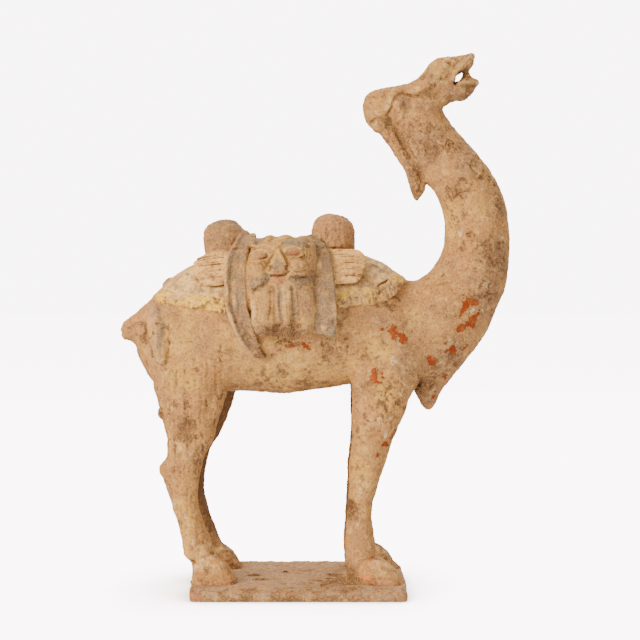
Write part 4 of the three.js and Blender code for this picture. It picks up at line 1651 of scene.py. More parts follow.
@dataclass
class PackLoad(ClayPart):
    """The saddle cloth, its fringe, the boards, the bands, the bags with their masks and the humps."""

    material: bpy.types.Material | None = None
    rows: RowTree | None = None
    cloth_thickness: float = 2.4
    cloth_outline: Path = (
        (-112, 250), (-113, 235), (-98, 232), (-78, 230.5), (30, 231), (52, 238), (66, 246), (82.5, 254),
        (84, 262), (64, 285), (-70, 285),
    )
    rear_fringe: Path = ((-113.5, 0), (-112.5, 18), (-105.5, 43), (-84, 65), (-56, 76))
    front_fringe: Path = ((81, 0), (79.5, 28), (70, 57), (53, 70), (27, 76))
    cloth_middle: Point = (-15, 0, 262)
    fringe_lift: float = 2.4
    fringe_half: float = 5.8
    tassels: tuple = ((2.9, -1.6, (1.5, 3.4, 1.5)), (4.4, 1.8, (2, 2.2, 1.3)), (3.6, -4.4, (1.5, 1.8, 1.5)))
    board_top: tuple[float, float] = (20, 270.5)
    board_bottom: tuple[float, float] = (44, 245.5)
    board_count: int = 5
    board_joint: float = 0.65
    board_square: float = 0.62
    board_thickness: float = 3.4
    droop: float = 0.0026
    board_rear: Path = (
        (0, -73), (0.5, -76.5), (1, -81.5), (1.6, -83.8), (2.5, -82.4), (3.5, -80), (4.4, -77.6),
        (5, -73.5),
    )
    board_front: Path = ((0, 47), (0.6, 51), (1.5, 53), (2.5, 52.2), (3.5, 50), (4.4, 47.5), (5, 44.5))
    pack_pad: Rungs = (
        (-55, 273, -55, 197, 44), (-49, 278, -49, 192, 49.5), (-12, 278, -12, 190, 51),
        (21, 277.5, 21, 192, 49.5), (28, 272, 28, 198, 44),
    )
    bag: Rungs = (
        (-28.5, 280, 7, 280, 14, -14), (-34.5, 275.5, 12, 275.5, 19, -27),
        (-39, 265.5, 14, 265.5, 20, -34), (-41.5, 251, 15.5, 251, 20, -38),
        (-40.5, 235.5, 16.5, 235.5, 20, -39), (-37.5, 221.5, 15.5, 221.5, 19, -39),
        (-32, 211, 12, 211, 16, -38), (-23.5, 203, 2.5, 203, 11, -37),
    )
    rear_band: Rungs = (
        (-41, 0, 282, 5), (-42, -12, 280.5, 5.5), (-45.5, -27, 271.5, 6.5), (-49, -39, 260.5, 7.5),
        (-49.5, -46, 247, 7.6), (-49, -49, 233, 7.8), (-46, -48.5, 219.5, 7.6), (-40, -46.5, 204.5, 6.6),
        (-34.4, -43.8, 194.6, 4.6), (-31.4, -41.6, 189.6, 3),
    )
    front_band: Rungs = (
        (6, 0, 281, 5.5), (9, -12, 279, 6), (15.5, -27, 270.5, 6.8), (17.8, -40, 258.5, 7.2),
        (19.4, -48.5, 244, 7.8), (20.4, -52, 229, 8.4), (20.6, -51.5, 215, 8.6), (20.4, -48.5, 206, 6.5),
    )
    band_thickness: float = 3.4
    rear_hump: Rungs = (
        (-75.5, 262, -38.5, 262, 18), (-77, 275, -40, 275, 18), (-77.5, 283, -41.5, 283, 17.5),
        (-76.5, 288.5, -45, 288.5, 15.5), (-71.5, 293, -49, 293, 11),
        (-65, 295.5, -52, 295.5, 6), (-59.5, 296, -57, 296, 1.5),
    )
    front_hump: Rungs = (
        (11.5, 262, 44, 262, 18), (10, 273.5, 44.5, 273.5, 18), (10, 285, 44.5, 285, 17.5),
        (11, 292, 43, 292, 16), (14, 297.5, 38, 297.5, 12), (19, 300, 31, 300, 6.5),
        (23, 301, 26, 301, 1.5),
    )

    def model(self) -> None:
        """Lay the cloth, then everything that it carries, from the back outwards."""
        self.cloth()
        self.boards()
        for hump in (self.rear_hump, self.front_hump):
            self.clay.add(Loft(hump), Finish.HUMP, 1.2)
        self.clay.add(Loft(self.pack_pad), Finish.BAG, 2)
        for side in (NEAR, FAR):
            self.clay.add(Loft(self.bag, 0.78, mirrored=side == FAR), Finish.BAG, 2)
            self.mask(side)
            self.strap(self.rear_band, side)
            self.strap(self.front_band, side)
            self.slits(side)
        self.near_mask()
        self.details()

    def cloth(self) -> None:
        """Lay the saddle cloth over the barrel and hang its fringe."""
        clay = self.clay
        clay.add(Loft(BARREL, grow=self.cloth_thickness), Finish.CLOTH)
        clay.keep(Slice(self.cloth_outline, 70))
        unit = pellet_unit("tassel_unit", 0.75)
        place = np.linspace(-1, 1, 11)
        lens = np.stack([place, 0.3 + 1.2 * np.sqrt(1 - place**2)], axis=1)
        profile = np.concatenate([lens, lens[::-1] * [1, 0] - [0, 2.5]])
        for number, run in enumerate((self.rear_fringe, self.front_fringe)):
            arch = [(x, -angle) for x, angle in run[:0:-1]] + list(run)
            places = along(np.array(arch, float), np.linspace(0, 1, 120))
            found = [on_barrel(x, angle) for x, angle in places]
            points = np.array([point for point, _ in found])
            out = np.array([facing for _, facing in found])
            inward = np.cross(out, np.gradient(points, axis=0))
            inward *= np.sign((inward * (self.cloth_middle - points)).sum(axis=1, keepdims=True))
            inward /= np.linalg.norm(inward, axis=1, keepdims=True)
            sunk = 2.0 * (1 - smooth_steps(np.abs(places[:, 1]), 6, 26))
            middle = points + inward * self.fringe_lift + out * (0.9 - sunk)[:, None]
            half = self.fringe_half * (1 + 0.25 * ClayNoise(91).at(points, 8.0))
            clay.add(ribbon(middle, inward, out, half, profile), Finish.FRINGE, 2)
            length = np.linalg.norm(np.diff(points, axis=0), axis=1).sum()
            for row, (pitch, shift, size) in enumerate(self.tassels):
                tassels = self.rows.lay(
                    middle + out * 0.5 + inward * shift, out, unit, int(length / pitch), size,
                    self.material, 0.55, 5 + 3 * number + row,
                )
                clay.add(tassels, Finish.FRINGE, 1.4)

    def boards(self) -> None:
        """Stack the long boards on both sides of the humps."""
        upper, lower = np.array(self.board_top, float), np.array(self.board_bottom, float)
        down = (lower - upper) / self.board_count
        half = np.linalg.norm(down) / 2
        out = np.array([-down[1], down[0]]) / (2 * half)
        for side in (NEAR, FAR):
            for board in range(self.board_count):
                self.plank(board, half * 1.05, side, upper, down, out)

    def plank(self, board: int, half: float, side: int, upper: Array, down: Array, out: Array) -> None:
        """Add one board, whose worn ends follow the slant of the stack's ends.

        Args:
            board: its number from the top.
            half: half its width.
            side: NEAR or FAR.
            upper: the stack's top edge, as y and z on the far side.
            down: the step from one board to the next.
            out: the direction of its thickness.
        """
        turn = np.linspace(0, 2 * math.pi, 28, endpoint=False)
        across, through = bent(np.cos(turn), self.board_square), bent(np.sin(turn), self.board_square)
        place = board + 0.5 + 0.5 * across
        rear = np.interp(place, *np.array(self.board_rear, float).T)
        front = np.interp(place, *np.array(self.board_front, float).T)
        wide = half * across[:, None] * down / np.linalg.norm(down)
        rings = []
        for part in np.linspace(0, 1, 40):
            worn = 0.45 + 0.55 * math.sqrt(min(1.0, 14 * min(part, 1 - part)))
            thick = self.board_thickness * worn * through[:, None] * out
            x = rear + (front - rear) * part
            droop = self.droop * float(np.maximum(-46 - x, 0).mean()) ** 2
            middle = upper + down * (board + 0.5) + out * 0.1 - np.array([0, droop])
            section = middle + wide * (0.8 + 0.2 * worn) + thick
            rings.append(np.stack([x, side * section[:, 0], section[:, 1]], axis=1))
        self.clay.add(Solid(*close_rings(np.array(rings))), Finish.BOARD, 0.6)

    def strap(self, half: Rungs, side: int) -> None:
        """Lay one half of a band over the back, hollow along its middle.

        Args:
            half: rows of x, y, z and half width, from the ridge of the back down.
            side: NEAR or FAR.
        """
        rows = along(np.array(half, float), np.linspace(0, 1, 70))
        points = rows[:, :3] * [1, -side, 1]
        run = np.gradient(points, axis=0)
        run /= np.linalg.norm(run, axis=1, keepdims=True)
        across = np.array([1.0, 0, 0]) - run * run[:, :1]
        across /= np.linalg.norm(across, axis=1, keepdims=True)
        out = np.cross(run, across)
        out *= np.sign((out * (points - [0, 0, 232]))[:, 1:].sum(axis=1, keepdims=True))
        place = np.linspace(-1, 1, 21)
        if half is self.rear_band:
            top = self.band_thickness * (0.52 + 0.5 * np.exp(-(((np.abs(place) - 0.76) / 0.22) ** 2)))
        else:
            top = self.band_thickness * (0.72 + 0.12 * (1 - place**2))
        under = np.full(21, -self.band_thickness)
        profile = np.concatenate([np.stack([place, top], 1), np.stack([place[::-1], under], 1)])
        strip = ribbon(points, across, out, rows[:, 3], profile)
        self.clay.add(strip, Finish.BAND, 1.4)
        self.clay.coat(strip, Finish.BAND, 0.9)
        # The rear band's rims carry a painted highlight.
        if half is self.rear_band:
            for edge in (-1, 1):
                rim = points + edge * 0.84 * across * rows[:, 3:] + out * (self.band_thickness - 1.6)
                self.clay.add(Cord(rim, np.minimum(1.5, rows[:, 3] * 0.4)), Finish.RIM, 2.2)

    def mask(self, side: int) -> None:
        """Model the large forms of the face on a bag.

        Args:
            side: NEAR or FAR.
        """
        clay = self.clay
        forms = (
            ((-31, 55, 254.5), (8.5, 5.5, 7.5), 0), ((0, 55.5, 256.5), (8, 5.5, 6), 0),
            ((-26.5, 53, 224), (10.5, 7.5, 21), 0), ((-9.3, 54, 225), (4.8, 7.2, 20), 0),
            ((5.3, 52, 225.5), (9, 7.5, 20.5), 0),
        )
        for (x, y, z), radii, lean in forms:
            clay.add(Ball((x, side * y, z), radii, lean), Finish.BAG, 1.6)
        nose = np.array([(270.5, 2, 50, 5), (263, 4.6, 52, 6.5), (256, 7.4, 53.5, 7), (252.5, 8, 53, 6)])
        turn = np.linspace(0, 2 * math.pi, 24, endpoint=False)
        rings = [
            np.stack([-15.5 + half * np.cos(turn), side * y + deep * np.sin(turn), 0 * turn + z], axis=1)
            for z, half, y, deep in along(nose, np.linspace(0, 1, 14))
        ]
        clay.add(Solid(*close_rings(np.array(rings))), Finish.BAG, 1.4)
        crest = np.array([(-36, 33, 275.5), (-30, 34.5, 276.5), (-14, 35, 277.5), (3, 34.5, 276.5)])
        crest[:, 1] *= side
        points = along(crest, np.linspace(0, 1, 40))
        clay.add(Cord(points, np.full(len(points), 3.9)), Finish.BAG, 2.0)
        out = np.tile([0, 0.35 * side, 1.0], (len(points), 1))
        curls = self.rows.lay(
            points + out * 2.2, out, pellet_unit("curl_unit"), 4 if side == NEAR else 3,
            (4.6, 6.5, 2.7), self.material, 0.15, 3,
        )
        clay.add(curls, Finish.BAG, 2)

    def near_mask(self) -> None:
        """Model the finer forms of the near face."""
        for work in (self.brows, self.eyes, self.nose, self.cheeks, self.beard):
            work()

    def brows(self) -> None:
        """Lay the yellow brow cord and the dark brow at its right."""
        clay = self.clay
        cord = (
            (-39.3, 275.2), (-31.8, 272.6), (-25.9, 274.1), (-18.9, 271.6), (-15.1, 274.1), (-10.8, 277.5),
        )
        dark = ((-10.5, 275.9), (-4, 275.9), (1, 275.2), (6.8, 272.8))
        clay.roll(cord, 1.5, 1.4, Finish.OCHRE, blend=0.8)
        clay.groove(((-38, 272.4), (-31.4, 270.2), (-25, 271.4)), 0.7, 0.8)
        clay.roll(dark, 2.7, 2.2, Finish.SLATE, blend=0.8, taper=0.7)
        clay.roll(((-20, 276.8), (-15.5, 278.6), (-10, 279.6)), 1.3, 0.9, Finish.OCHRE)

    def eyes(self) -> None:
        """Set the almond eyes between their lids."""
        clay = self.clay
        clay.dent((-27.8, 265.8), (6.2, 3, 3.7), 0.6, -0.2)
        clay.lump((-28.6, 265.2), (4.2, 2.6, 2.4), 2.4, Finish.ROSE, -0.35, blend=0.5)
        clay.lump((-26.4, 265.9), (1.8, 2, 1.4), 1, Finish.SLATE, blend=0.3)
        upper = ((-38.5, 266.6), (-31.5, 269.8), (-25.5, 269.8), (-22.4, 266.4))
        clay.roll(upper, 1, 1, Finish.CREAM, blend=0.6)
        clay.roll(((-38.4, 261.2), (-31, 260.6), (-24.6, 262.4)), 1.1, 1.2, Finish.OCHRE, blend=0.6)
        clay.dent((-3.6, 268.2), (8.4, 3, 4.2), 1.3, 0.05)
        clay.lump((-4.2, 268.3), (5.4, 2.8, 2.5), 2.2, Finish.ROSE, 0.06, blend=0.4)
        upper = ((-11.5, 267.8), (-8.4, 271.9), (-2.5, 272.5), (3, 270.8))
        clay.roll(upper, 0.95, 1, Finish.CREAM, blend=0.6)
        clay.roll(((-10.4, 265.6), (-5, 264), (0.6, 264.6), (4, 267)), 0.95, 1, Finish.BAG, blend=0.6)
        for shift in (0, 2.3, 4.6):
            arc = ((1.8 + shift, 272.4), (4.6 + shift, 269), (4.4 + shift, 265), (2.4 + shift, 262))
            clay.groove(arc, 0.7, 0.9)

    def nose(self) -> None:
        """Shape the three-cornered nose with its rims, grey hollow and nostrils."""
        clay = self.clay
        clay.groove(((-17.6, 269.4), (-21.6, 262.6), (-26.4, 254.2)), 1.2, 1.3)
        clay.groove(((-13.6, 269.6), (-9.6, 263), (-5.8, 255.6)), 1.2, 1.3)
        for middle, end in (((-19, 262.4), (-23.6, 253.4)), ((-12.2, 262.4), (-8.2, 254.6))):
            clay.roll(((-15.8, 270), middle, end), 1.2, 1.2, Finish.SAND, blend=1, taper=0.8)
        clay.roll(((-22.6, 253.2), (-16, 252.2), (-9.2, 254.4)), 1.5, 1.3, Finish.ROSE, blend=1.2, taper=0.8)
        clay.dent((-15.9, 260), (4.2, 3, 7), 1.3, finish=Finish.GREY, blend=1.6)
        for place in ((-21.2, 256.6), (-8.9, 256.9)):
            clay.dent(place, (1.3, 3, 1.8), 1.7, finish=Finish.BROWN)
        clay.groove(((-25, 251.4), (-20, 249.9), (-12, 250.8), (-7.2, 253)), 0.9, 1.2)
        clay.lump((-6.8, 250.8), (2.4, 2, 2.6), 0.8, Finish.SAND, blend=0.8)

    def cheeks(self) -> None:
        """Round the cheeks and lay the grey whisker marks under them."""
        clay = self.clay
        clay.groove(((-39.6, 258.6), (-35, 261), (-29, 260.2), (-25.4, 256.6)), 0.9, 0.9)
        clay.groove(((-6.4, 262.4), (-1, 264.4), (5, 263), (7.4, 258.4)), 0.8, 0.9)
        clay.groove(((-5.6, 254.3), (0, 252.8), (6, 254.4)), 0.8, 1.3)
        clay.roll(((-3.4, 252.2), (0.6, 250.8), (4.8, 252)), 1.2, 1, Finish.ROSE, blend=0.7)
        clay.groove(((-5, 249.6), (0.4, 248.4), (6.2, 249.8)), 0.7, 1)
        for whisker, thick, proud in (
            (((-6.2, 248), (-1.9, 245.6), (3, 245), (9, 247.6)), 2.6, 2),
            (((-34.6, 240.6), (-28.5, 245.6), (-22.2, 250)), 3, 1.9),
        ):
            clay.roll(whisker, thick, proud, Finish.SLATE, blend=0.9, taper=0.7)
        clay.roll(((-38.6, 242.4), (-35.4, 244.6), (-32, 247.6)), 2.6, 1.1, Finish.GREY, blend=0.9)
        clay.groove(((-36, 237.4), (-29, 242), (-21.6, 247)), 0.8, 1.1)
        for place in ((-31, 242.6), (-27.4, 245), (-25, 247.6), (-30, 239.6)):
            clay.dent(place, (0.9, 2, 0.9), 1.1)

    def beard(self) -> None:
        """Part the beard into its lobes, with grey stripes and a crust along its foot."""
        clay = self.clay
        clay.roll(((-20, 248.4), (-16, 247), (-11.5, 248)), 2.2, 0.9, Finish.ROSE)
        clay.groove(((-13.8, 241.5), (-14.1, 228.5), (-13, 214.5)), 1.2, 1.1, finish=Finish.GREY)
        clay.groove(((-4.3, 242.2), (-3.7, 231.6), (-3.2, 219)), 1.3, 1.2, finish=Finish.GREY)
        for line, thick, deep in (
            (((-21.6, 243), (-21, 230), (-22.5, 217)), 0.8, 0.8),
            (((-18.4, 242), (-18.4, 229), (-17.6, 217)), 0.8, 0.7),
            (((-8.8, 242), (-8.6, 231), (-7.6, 219)), 0.7, 0.4),
            (((-0.6, 240), (0.2, 229), (0.9, 216)), 0.8, 0.5),
            (((-35.6, 238), (-33.4, 230), (-31.4, 221)), 1.2, 0.5),
        ):
            clay.groove(line, thick, deep)
        foot = ((-27, 211, 4), (-19, 208, 5), (-10, 210, 4.4), (-1, 208.6, 4), (-23, 203, 5), (-13, 202, 4))
        for x, z, wide in foot:
            clay.lump((x, z), (wide, 2.5, 2.6), 1.1, Finish.MAUVE, blend=1.4)

    def slits(self, side: int) -> None:
        """Part the bands from the bags.

        Args:
            side: NEAR or FAR.
        """
        rear = ((-39.6, 271.5), (-41.5, 259), (-42.3, 247), (-40.6, 229), (-37.8, 216), (-35.2, 207.5))
        front = ((7.9, 271.9), (10.4, 262), (11.6, 257), (13.4, 240), (15.2, 225), (16.2, 213))
        self.clay.groove(rear, 0.75, 4.5, side, 0.3, taper=0.8)
        self.clay.groove(front[:3], 0.75, 4, side, 0.3, taper=0.7)
        self.clay.groove(front[2:], 1.2, 0.5, side, 1, taper=0.6)

    def details(self) -> None:
        """Cut the wood lines, creases and chips."""
        clay = self.clay
        clay.groove(((-108, 240.2), (-103, 238.6), (-96.5, 237.1)), 0.6, 0.8)
        clay.dent((79, 243.1), (2.2, 3, 2), 2.4)
        clay.dent((27, 214.6), (1.7, 3, 3.4), 2)
        clay.lump((24.5, 206), (4.2, 2, 3.4), 0.9, Finish.SLATE)
        for side in (NEAR, FAR):
            clay.groove(((-59.8, 271.5), (-52, 271), (-45, 273)), 1, 1.2, side)
            clay.groove(((14, 274), (28, 272.4), (43, 273.5)), 1, 1.2, side)
            for board in range(1, self.board_count):
                part = board / self.board_count
                height = self.board_top[1] + part * (self.board_bottom[1] - self.board_top[1])
                rear = tuple((x, height - self.droop * max(-46 - x, 0) ** 2) for x in (-79, -73, -66, -59))
                front = ((33, height), (40, height + 0.3), (50, height))
                clay.groove(rear, self.board_joint, 1.1, side, 0.3, taper=0.8)
                clay.groove(front, self.board_joint, 1, side, 0.3, taper=0.7)
        clay.add(Ball((-105.2, -4, 245.6), (6, 5, 2.9), -0.68), Finish.GREY, 1.4)
        for place in ((-44, 206), (-41, 201)):
            clay.lump(place, (2.4, 3, 4), 0.6, Finish.MAUVE, 0.5, blend=1.2)
        for place in ((-32, 203.4), (-30, 198.4), (-27.6, 193.4)):
            clay.lump(place, (3.2, 3, 4.6), 0.9, Finish.MAUVE, 0.5, blend=2.4)
        for x, z, wide in ((-32, 191, 5), (-28.4, 188.4, 3.6), (-35.4, 195.4, 3.4), (-25.6, 184.6, 2.6)):
            clay.lump((x, z), (wide, 3, wide * 0.7), 0.9, Finish.MAUVE, 0.8, blend=1.4)
        clay.add(Ball((-43.5, -3, 283.5), (4.6, 7, 4.2), 0.5), Finish.BAND, 2)

    def covered(self, points: Array) -> Array:
        """Say which points lie inside the barrel, under the cloth.

        Args:
            points: places in millimetres.

        Returns:
            1 inside and 0 outside.
        """
        rows = along(np.array(BARREL, float), np.linspace(0, 1, 200))
        middle = (rows[:, 0] + rows[:, 2]) / 2
        top, bottom, half = (np.interp(points[:, 0], middle, rows[:, column]) for column in (1, 3, 4))
        height = (points[:, 2] - (top + bottom) / 2) / ((top - bottom) / 2)
        return (np.hypot(height, points[:, 1] / half) < 0.96).astype(float)

    def combing(self, points: Array, normals: Array) -> Array:
        """Comb the humps, grain the boards and stroke the cloth.

        Args:
            points: places in millimetres.
            normals: which way the surface faces there.

        Returns:
            The heights in millimetres.
        """
        x, z = points[:, 0], points[:, 2]
        upper = smooth_steps(z, 268, 274) * smooth_steps(18.4 - np.abs(points[:, 1]), 0, 0.8)
        front = upper * smooth_steps(x, 8, 10) * (1 - smooth_steps(x, 45, 47))
        rear = upper * smooth_steps(-x, 36, 38) * (1 - smooth_steps(-x, 79, 81))
        hair = ClayNoise(81).at(points, (1.5, 1.5, 6.0)) + 0.7 * ClayNoise(82).at(points, (1.4, 1.4, 2.4))
        boards = (self.clay.owners(points - normals * 0.6) == Finish.BOARD.code).astype(float)
        wood = ClayNoise(83).at(points, (22.0, 1.5, 1.5))
        cloth = (self.clay.owners(points - normals * 0.6) == Finish.CLOTH.code).astype(float)
        turned = points @ np.array([[0.8, 0, 0.6], [0, 1, 0], [-0.6, 0, 0.8]]).T
        strokes = ClayNoise(84).at(turned, (8.0, 1.6, 1.3))
        crumbly = (self.clay.owners(points - normals * 0.6) == Finish.FRINGE.code).astype(float)
        return (
            hair * (0.42 * front + 0.26 * rear)
            + 0.07 * boards * wood
            + 0.12 * cloth * strokes
            + 0.8 * crumbly * ClayNoise(85).layered(points, 2.8, 3)
        )


@dataclass
class Plinth(ClayPart):
    """The worn slab that the camel stands on."""

    length: float = 167.6
    width: float = 114.0
    shift: float = -2.6
    height: float = 10.5
    edge: float = 1.3
    hollows: tuple = (
        (-29.4, -23.5, 10, 3.4), (-33.4, -6, 11, 2.6), (29.2, -10, 9, 3), (4, 12, 9, 4), (-8, -40, 9, 2),
        (12, -26, 6, 2), (-52, 8, 6, 3), (33, -34, 8, 5),
    )
    pits: tuple = (
        (-37, -8, 6.4, 4.2), (-29.6, -23, 7, 3.6), (28.5, -4, 6.4, 3), (16, -27, 2, 2.6),
        (34.5, -35, 5, 4.4), (24, -20, 3, 2.4), (-12, 6, 3, 2),
    )
    crumbs: int = 26

    def model(self) -> None:
        """Cut the slab, wear its edges and gouge its top, with painted shade in its pits."""
        half_x, half_y = self.length / 2, self.width / 2
        front, back = self.shift - half_y, self.shift + half_y
        block = Block((-half_x, front, 0), (half_x, back, self.height), self.edge)
        self.clay.add(block, Finish.SLAB)
        for x, y, wide, broad in self.hollows:
            self.clay.carve(Ball((x, y, self.height + 0.8), (wide, broad, 2.2)), 1.2)
        # Painted shade: near black in the pits and crumbs, where shade falls.
        for x, y, wide, broad in self.pits:
            self.clay.carve(Ball((x, y, self.height - 0.2), (wide, broad, 3.4)), 0.2, Finish.PIT)
        for number in range(self.crumbs):
            place = (19 + number * 7.3 % 27, -49 + number * 11.9 % 42, self.height)
            wide = 1.6 + number * 0.37 % 1.8
            self.clay.carve(Ball(place, (wide, 1.5, 1.3)), 0.2, Finish.PIT)
        for x in (-half_x, half_x):
            for y in (front, back):
                self.clay.carve(Ball((x * 1.012, y * 1.02, 5), (2.8, 2.8, 12)), 3.0)
        self.clay.carve(Ball((86, -57, 11), (5, 12, 4.4)), 3)
        self.clay.carve(Ball((half_x + 2, back + 2, 5), (11, 24, 14)), 2)
        self.clay.carve(Ball((0, front - 1.2, self.height + 1.2), (400, 6.4, 3.6)), 1.6)
        for x, wide in ((-60, 26), (-12, 30), (32, 24), (70, 20)):
            self.clay.carve(Ball((x, front + 0.6, self.height + 0.4), (wide, 3.6, 2.2)), 2)
        for centre, radii in (((-81, -59, 10), (5, 4, 3)), ((20, -61, 9.6), (9, 2.4, 2))):
            self.clay.carve(Ball(centre, radii), 1)

    def covered(self, points: Array) -> Array:
        """Leave the slab's foot unworn, so that it stands close on the ground."""
        return 1 - smooth_steps(points[:, 2], 0.6, 3.0)

    def shade_and_grime(self, points: Array, normals: Array) -> Array:
        """Paint shade on the sides of the slab, and darken the near half of its top from 8 to 56 mm along.

        Args:
            points: places in millimetres.
            normals: which way the surface faces there.

        Returns:
            How much darker each point is, from 0 up.
        """
        near_feet = smooth_steps(points[:, 0], 8, 34) * (1 - smooth_steps(points[:, 0], 40, 56))
        near_feet *= 1 - smooth_steps(points[:, 1], -20, 0)
        # Painted shade: the sides are darker than the top.
        return 0.04 - 0.04 * smooth_steps(normals[:, 2], 0.2, 0.8) * (1 - 14 * near_feet)

    def settle(self, points: Array) -> None:
        """Keep the underside flat.

        Args:
            points: places in millimetres, which are changed.
        """
        under = points[:, 2] < 0.9
        points[under, 2] = np.maximum(points[under, 2], 0)
        low = points[:, 2] < 0.35
        points[low, 2] = 0


class Signal:
    """A socket that shader maths is written with."""

    def __init__(self, bench: "Bench", socket: bpy.types.NodeSocket) -> None:
        """Wrap a socket.

        Args:
            bench: where its nodes are.
            socket: the socket.
        """
        self.bench = bench
        self.socket = socket

    def _math(self, operation: str, *values: "Signal | float") -> "Signal":
        """Add a Math node over values."""
        node = self.bench.node("ShaderNodeMath", {"operation": operation}, dict(enumerate(values)))
        return Signal(self.bench, node.outputs[0])

    def __add__(self, other: "Signal | float") -> "Signal":
        """Add."""
        return self._math("ADD", self, other)

    __radd__ = __add__

    def __sub__(self, other: "Signal | float") -> "Signal":
        """Subtract."""
        return self._math("SUBTRACT", self, other)

    def __rsub__(self, other: "Signal | float") -> "Signal":
        """Subtract from a number."""
        return self._math("SUBTRACT", other, self)

    def __mul__(self, other: "Signal | float") -> "Signal":
        """Multiply."""
        return self._math("MULTIPLY", self, other)

    __rmul__ = __mul__

    def step(self, low: float, high: float) -> "Signal":
        """Ease from 0 at low to 1 at high.

        Args:
            low: where the rise begins.
            high: where it ends.

        Returns:
            The eased values.
        """
        node = self.bench.node(
            "ShaderNodeMapRange",
            {"interpolation_type": "SMOOTHSTEP"},
            {"Value": self, "From Min": low, "From Max": high},
        )
        return Signal(self.bench, node.outputs["Result"])


class Bench:
    """The nodes of one material."""

    def __init__(self, material: bpy.types.Material) -> None:
        """Clear a material's nodes.

        Args:
            material: the material.
        """
        material.use_nodes = True
        self.tree = material.node_tree
        self.tree.nodes.clear()
        self.place = Signal(self, self.node("ShaderNodeTexCoord").outputs["Object"])

    def node(self, kind: str, settings: dict | None = None, inputs: dict | None = None) -> bpy.types.Node:
        """Add a node.

        Args:
            kind: its type.
            settings: its own settings, set first.
            inputs: its sockets, as values or as signals to link.

        Returns:
            The node.
        """
        node = self.tree.nodes.new(kind)
        for name, value in (settings or {}).items():
            setattr(node, name, value)
        for name, value in (inputs or {}).items():
            if isinstance(value, Signal):
                self.tree.links.new(value.socket, node.inputs[name])
            else:
                node.inputs[name].default_value = value
        return node

    def finish(self, surface: bpy.types.Node) -> None:
        """Give the material its surface."""
        self.node("ShaderNodeOutputMaterial", inputs={"Surface": Signal(self, surface.outputs[0])})

    def attribute(self, name: str, colour: bool = False) -> Signal:
        """Read an attribute of the piece."""
        node = self.node("ShaderNodeAttribute", {"attribute_name": name})
        return Signal(self, node.outputs["Color" if colour else "Fac"])

    def noise(self, scale: float, detail: float, rough: float) -> Signal:
        """Add bumps in space.

        Args:
            scale: how many there are to a metre.
            detail: how many sizes there are.
            rough: how strong the small ones are.

        Returns:
            The bumps, from 0 to 1.
        """
        values = {"Vector": self.place, "Scale": scale, "Detail": detail, "Roughness": rough}
        return Signal(self, self.node("ShaderNodeTexNoise", inputs=values).outputs[0])

    def mix(self, share: Signal, first: Signal | tuple, second: Signal | tuple) -> Signal:
        """Mix two colours.

        Args:
            share: how much of the second there is.
            first: a colour.
            second: a colour.

        Returns:
            The mixed colour.
        """
        colours = [value if isinstance(value, Signal) else (*value, 1.0) for value in (first, second)]
        values = {0: share, 6: colours[0], 7: colours[1]}
        return Signal(self, self.node("ShaderNodeMix", {"data_type": "RGBA"}, values).outputs[2])


@dataclass(frozen=True)
class FiredClay:
    """Low-fired clay with worn cold paint, slip, burial soil, flakes of orange-red pigment, and painted shade
    in its hollows and between its legs.
    """

    name: str = "fired_clay_worn"
    soil: tuple = tint(112, 84, 64)
    dark: tuple = tint(90, 64, 46)
    pale: tuple = tint(224, 188, 124)
    warm: tuple = tint(152, 117, 90)
    slip: tuple = tint(240, 222, 190)
    flake: tuple = tint(135, 50, 3)
    faded: tuple = tint(148, 78, 36)
    roughness: float = 0.9
    gloss: float = 0.25
    grain: float = 0.0011

    def material(self) -> bpy.types.Material:
        """Build the finish.

        Returns:
            The material.
        """
        material = bpy.data.materials.new(self.name)
        bench = Bench(material)
        broad = bench.noise(38, 4, 0.6)
        mottle = bench.noise(130, 5, 0.7)
        cloud = bench.noise(75, 5, 0.7)
        grain = bench.noise(430, 5, 0.75)
        speck = bench.noise(1000, 3, 0.6)
        hollow = bench.attribute("hollow")
        soil_and_shade = bench.attribute("soil")
        painted = 1 - 0.35 * bench.attribute("paint")
        colour = bench.attribute("pigment", colour=True)
        for share, bumps, low, high, tone in (
            (0.55, broad, 0.44, 0.64, self.warm),
            (0.46, mottle, 0.48, 0.66, self.pale),
            (0.42, cloud, 0.53, 0.71, self.soil),
        ):
            colour = bench.mix(share * bumps.step(low, high) * painted, colour, tone)
        # Painted shade mixed with soil: sheltered hollows, soil spots and each part's painted shade darken
        # towards the soil colour.
        dirt_and_shade = (hollow * 1.5 + soil_and_shade * 0.9 + (cloud - 0.5) * 1.1 + (grain - 0.5) * 0.7).step(0.15, 1.15)
        colour = bench.mix(0.88 * dirt_and_shade, colour, self.soil)
        colour = bench.mix(0.55 * grain.step(0.47, 0.64), colour, self.dark)
        colour = bench.mix(0.50 * speck.step(0.52, 0.68), colour, self.pale)
        # Painted shade: where soil and painted shade add up past 1, as on the far legs' inner faces, darken
        # further.
        colour = bench.mix(0.6 * (soil_and_shade - 1.0), colour, self.dark)
        edge = (bench.noise(420, 4, 0.7) - 0.5) * 2.0
        slipped = (bench.attribute("slip") * 1.2 + edge * 1.8).step(0.6, 0.95)
        colour = bench.mix(0.45 * slipped, colour, self.slip)
        flaked = (bench.attribute("flake") + edge * 1.3).step(0.42, 0.54)
        paint = bench.mix(mottle.step(0.45, 0.62), self.flake, self.faded)
        colour = bench.mix(0.94 * flaked, colour, paint)
        relief = grain * 0.7 + speck * 0.3 + flaked * 0.5 + slipped * 0.2
        height = {"Height": relief, "Distance": self.grain, "Strength": 1.0}
        looks = {
            "Base Color": colour, "Roughness": self.roughness - 0.12 * flaked + 0.06 * dirt_and_shade,
            "Normal": Signal(bench, bench.node("ShaderNodeBump", inputs=height).outputs[0]),
            "Specular IOR Level": self.gloss,
        }
        bench.finish(bench.node("ShaderNodeBsdfPrincipled", inputs=looks))
        return material


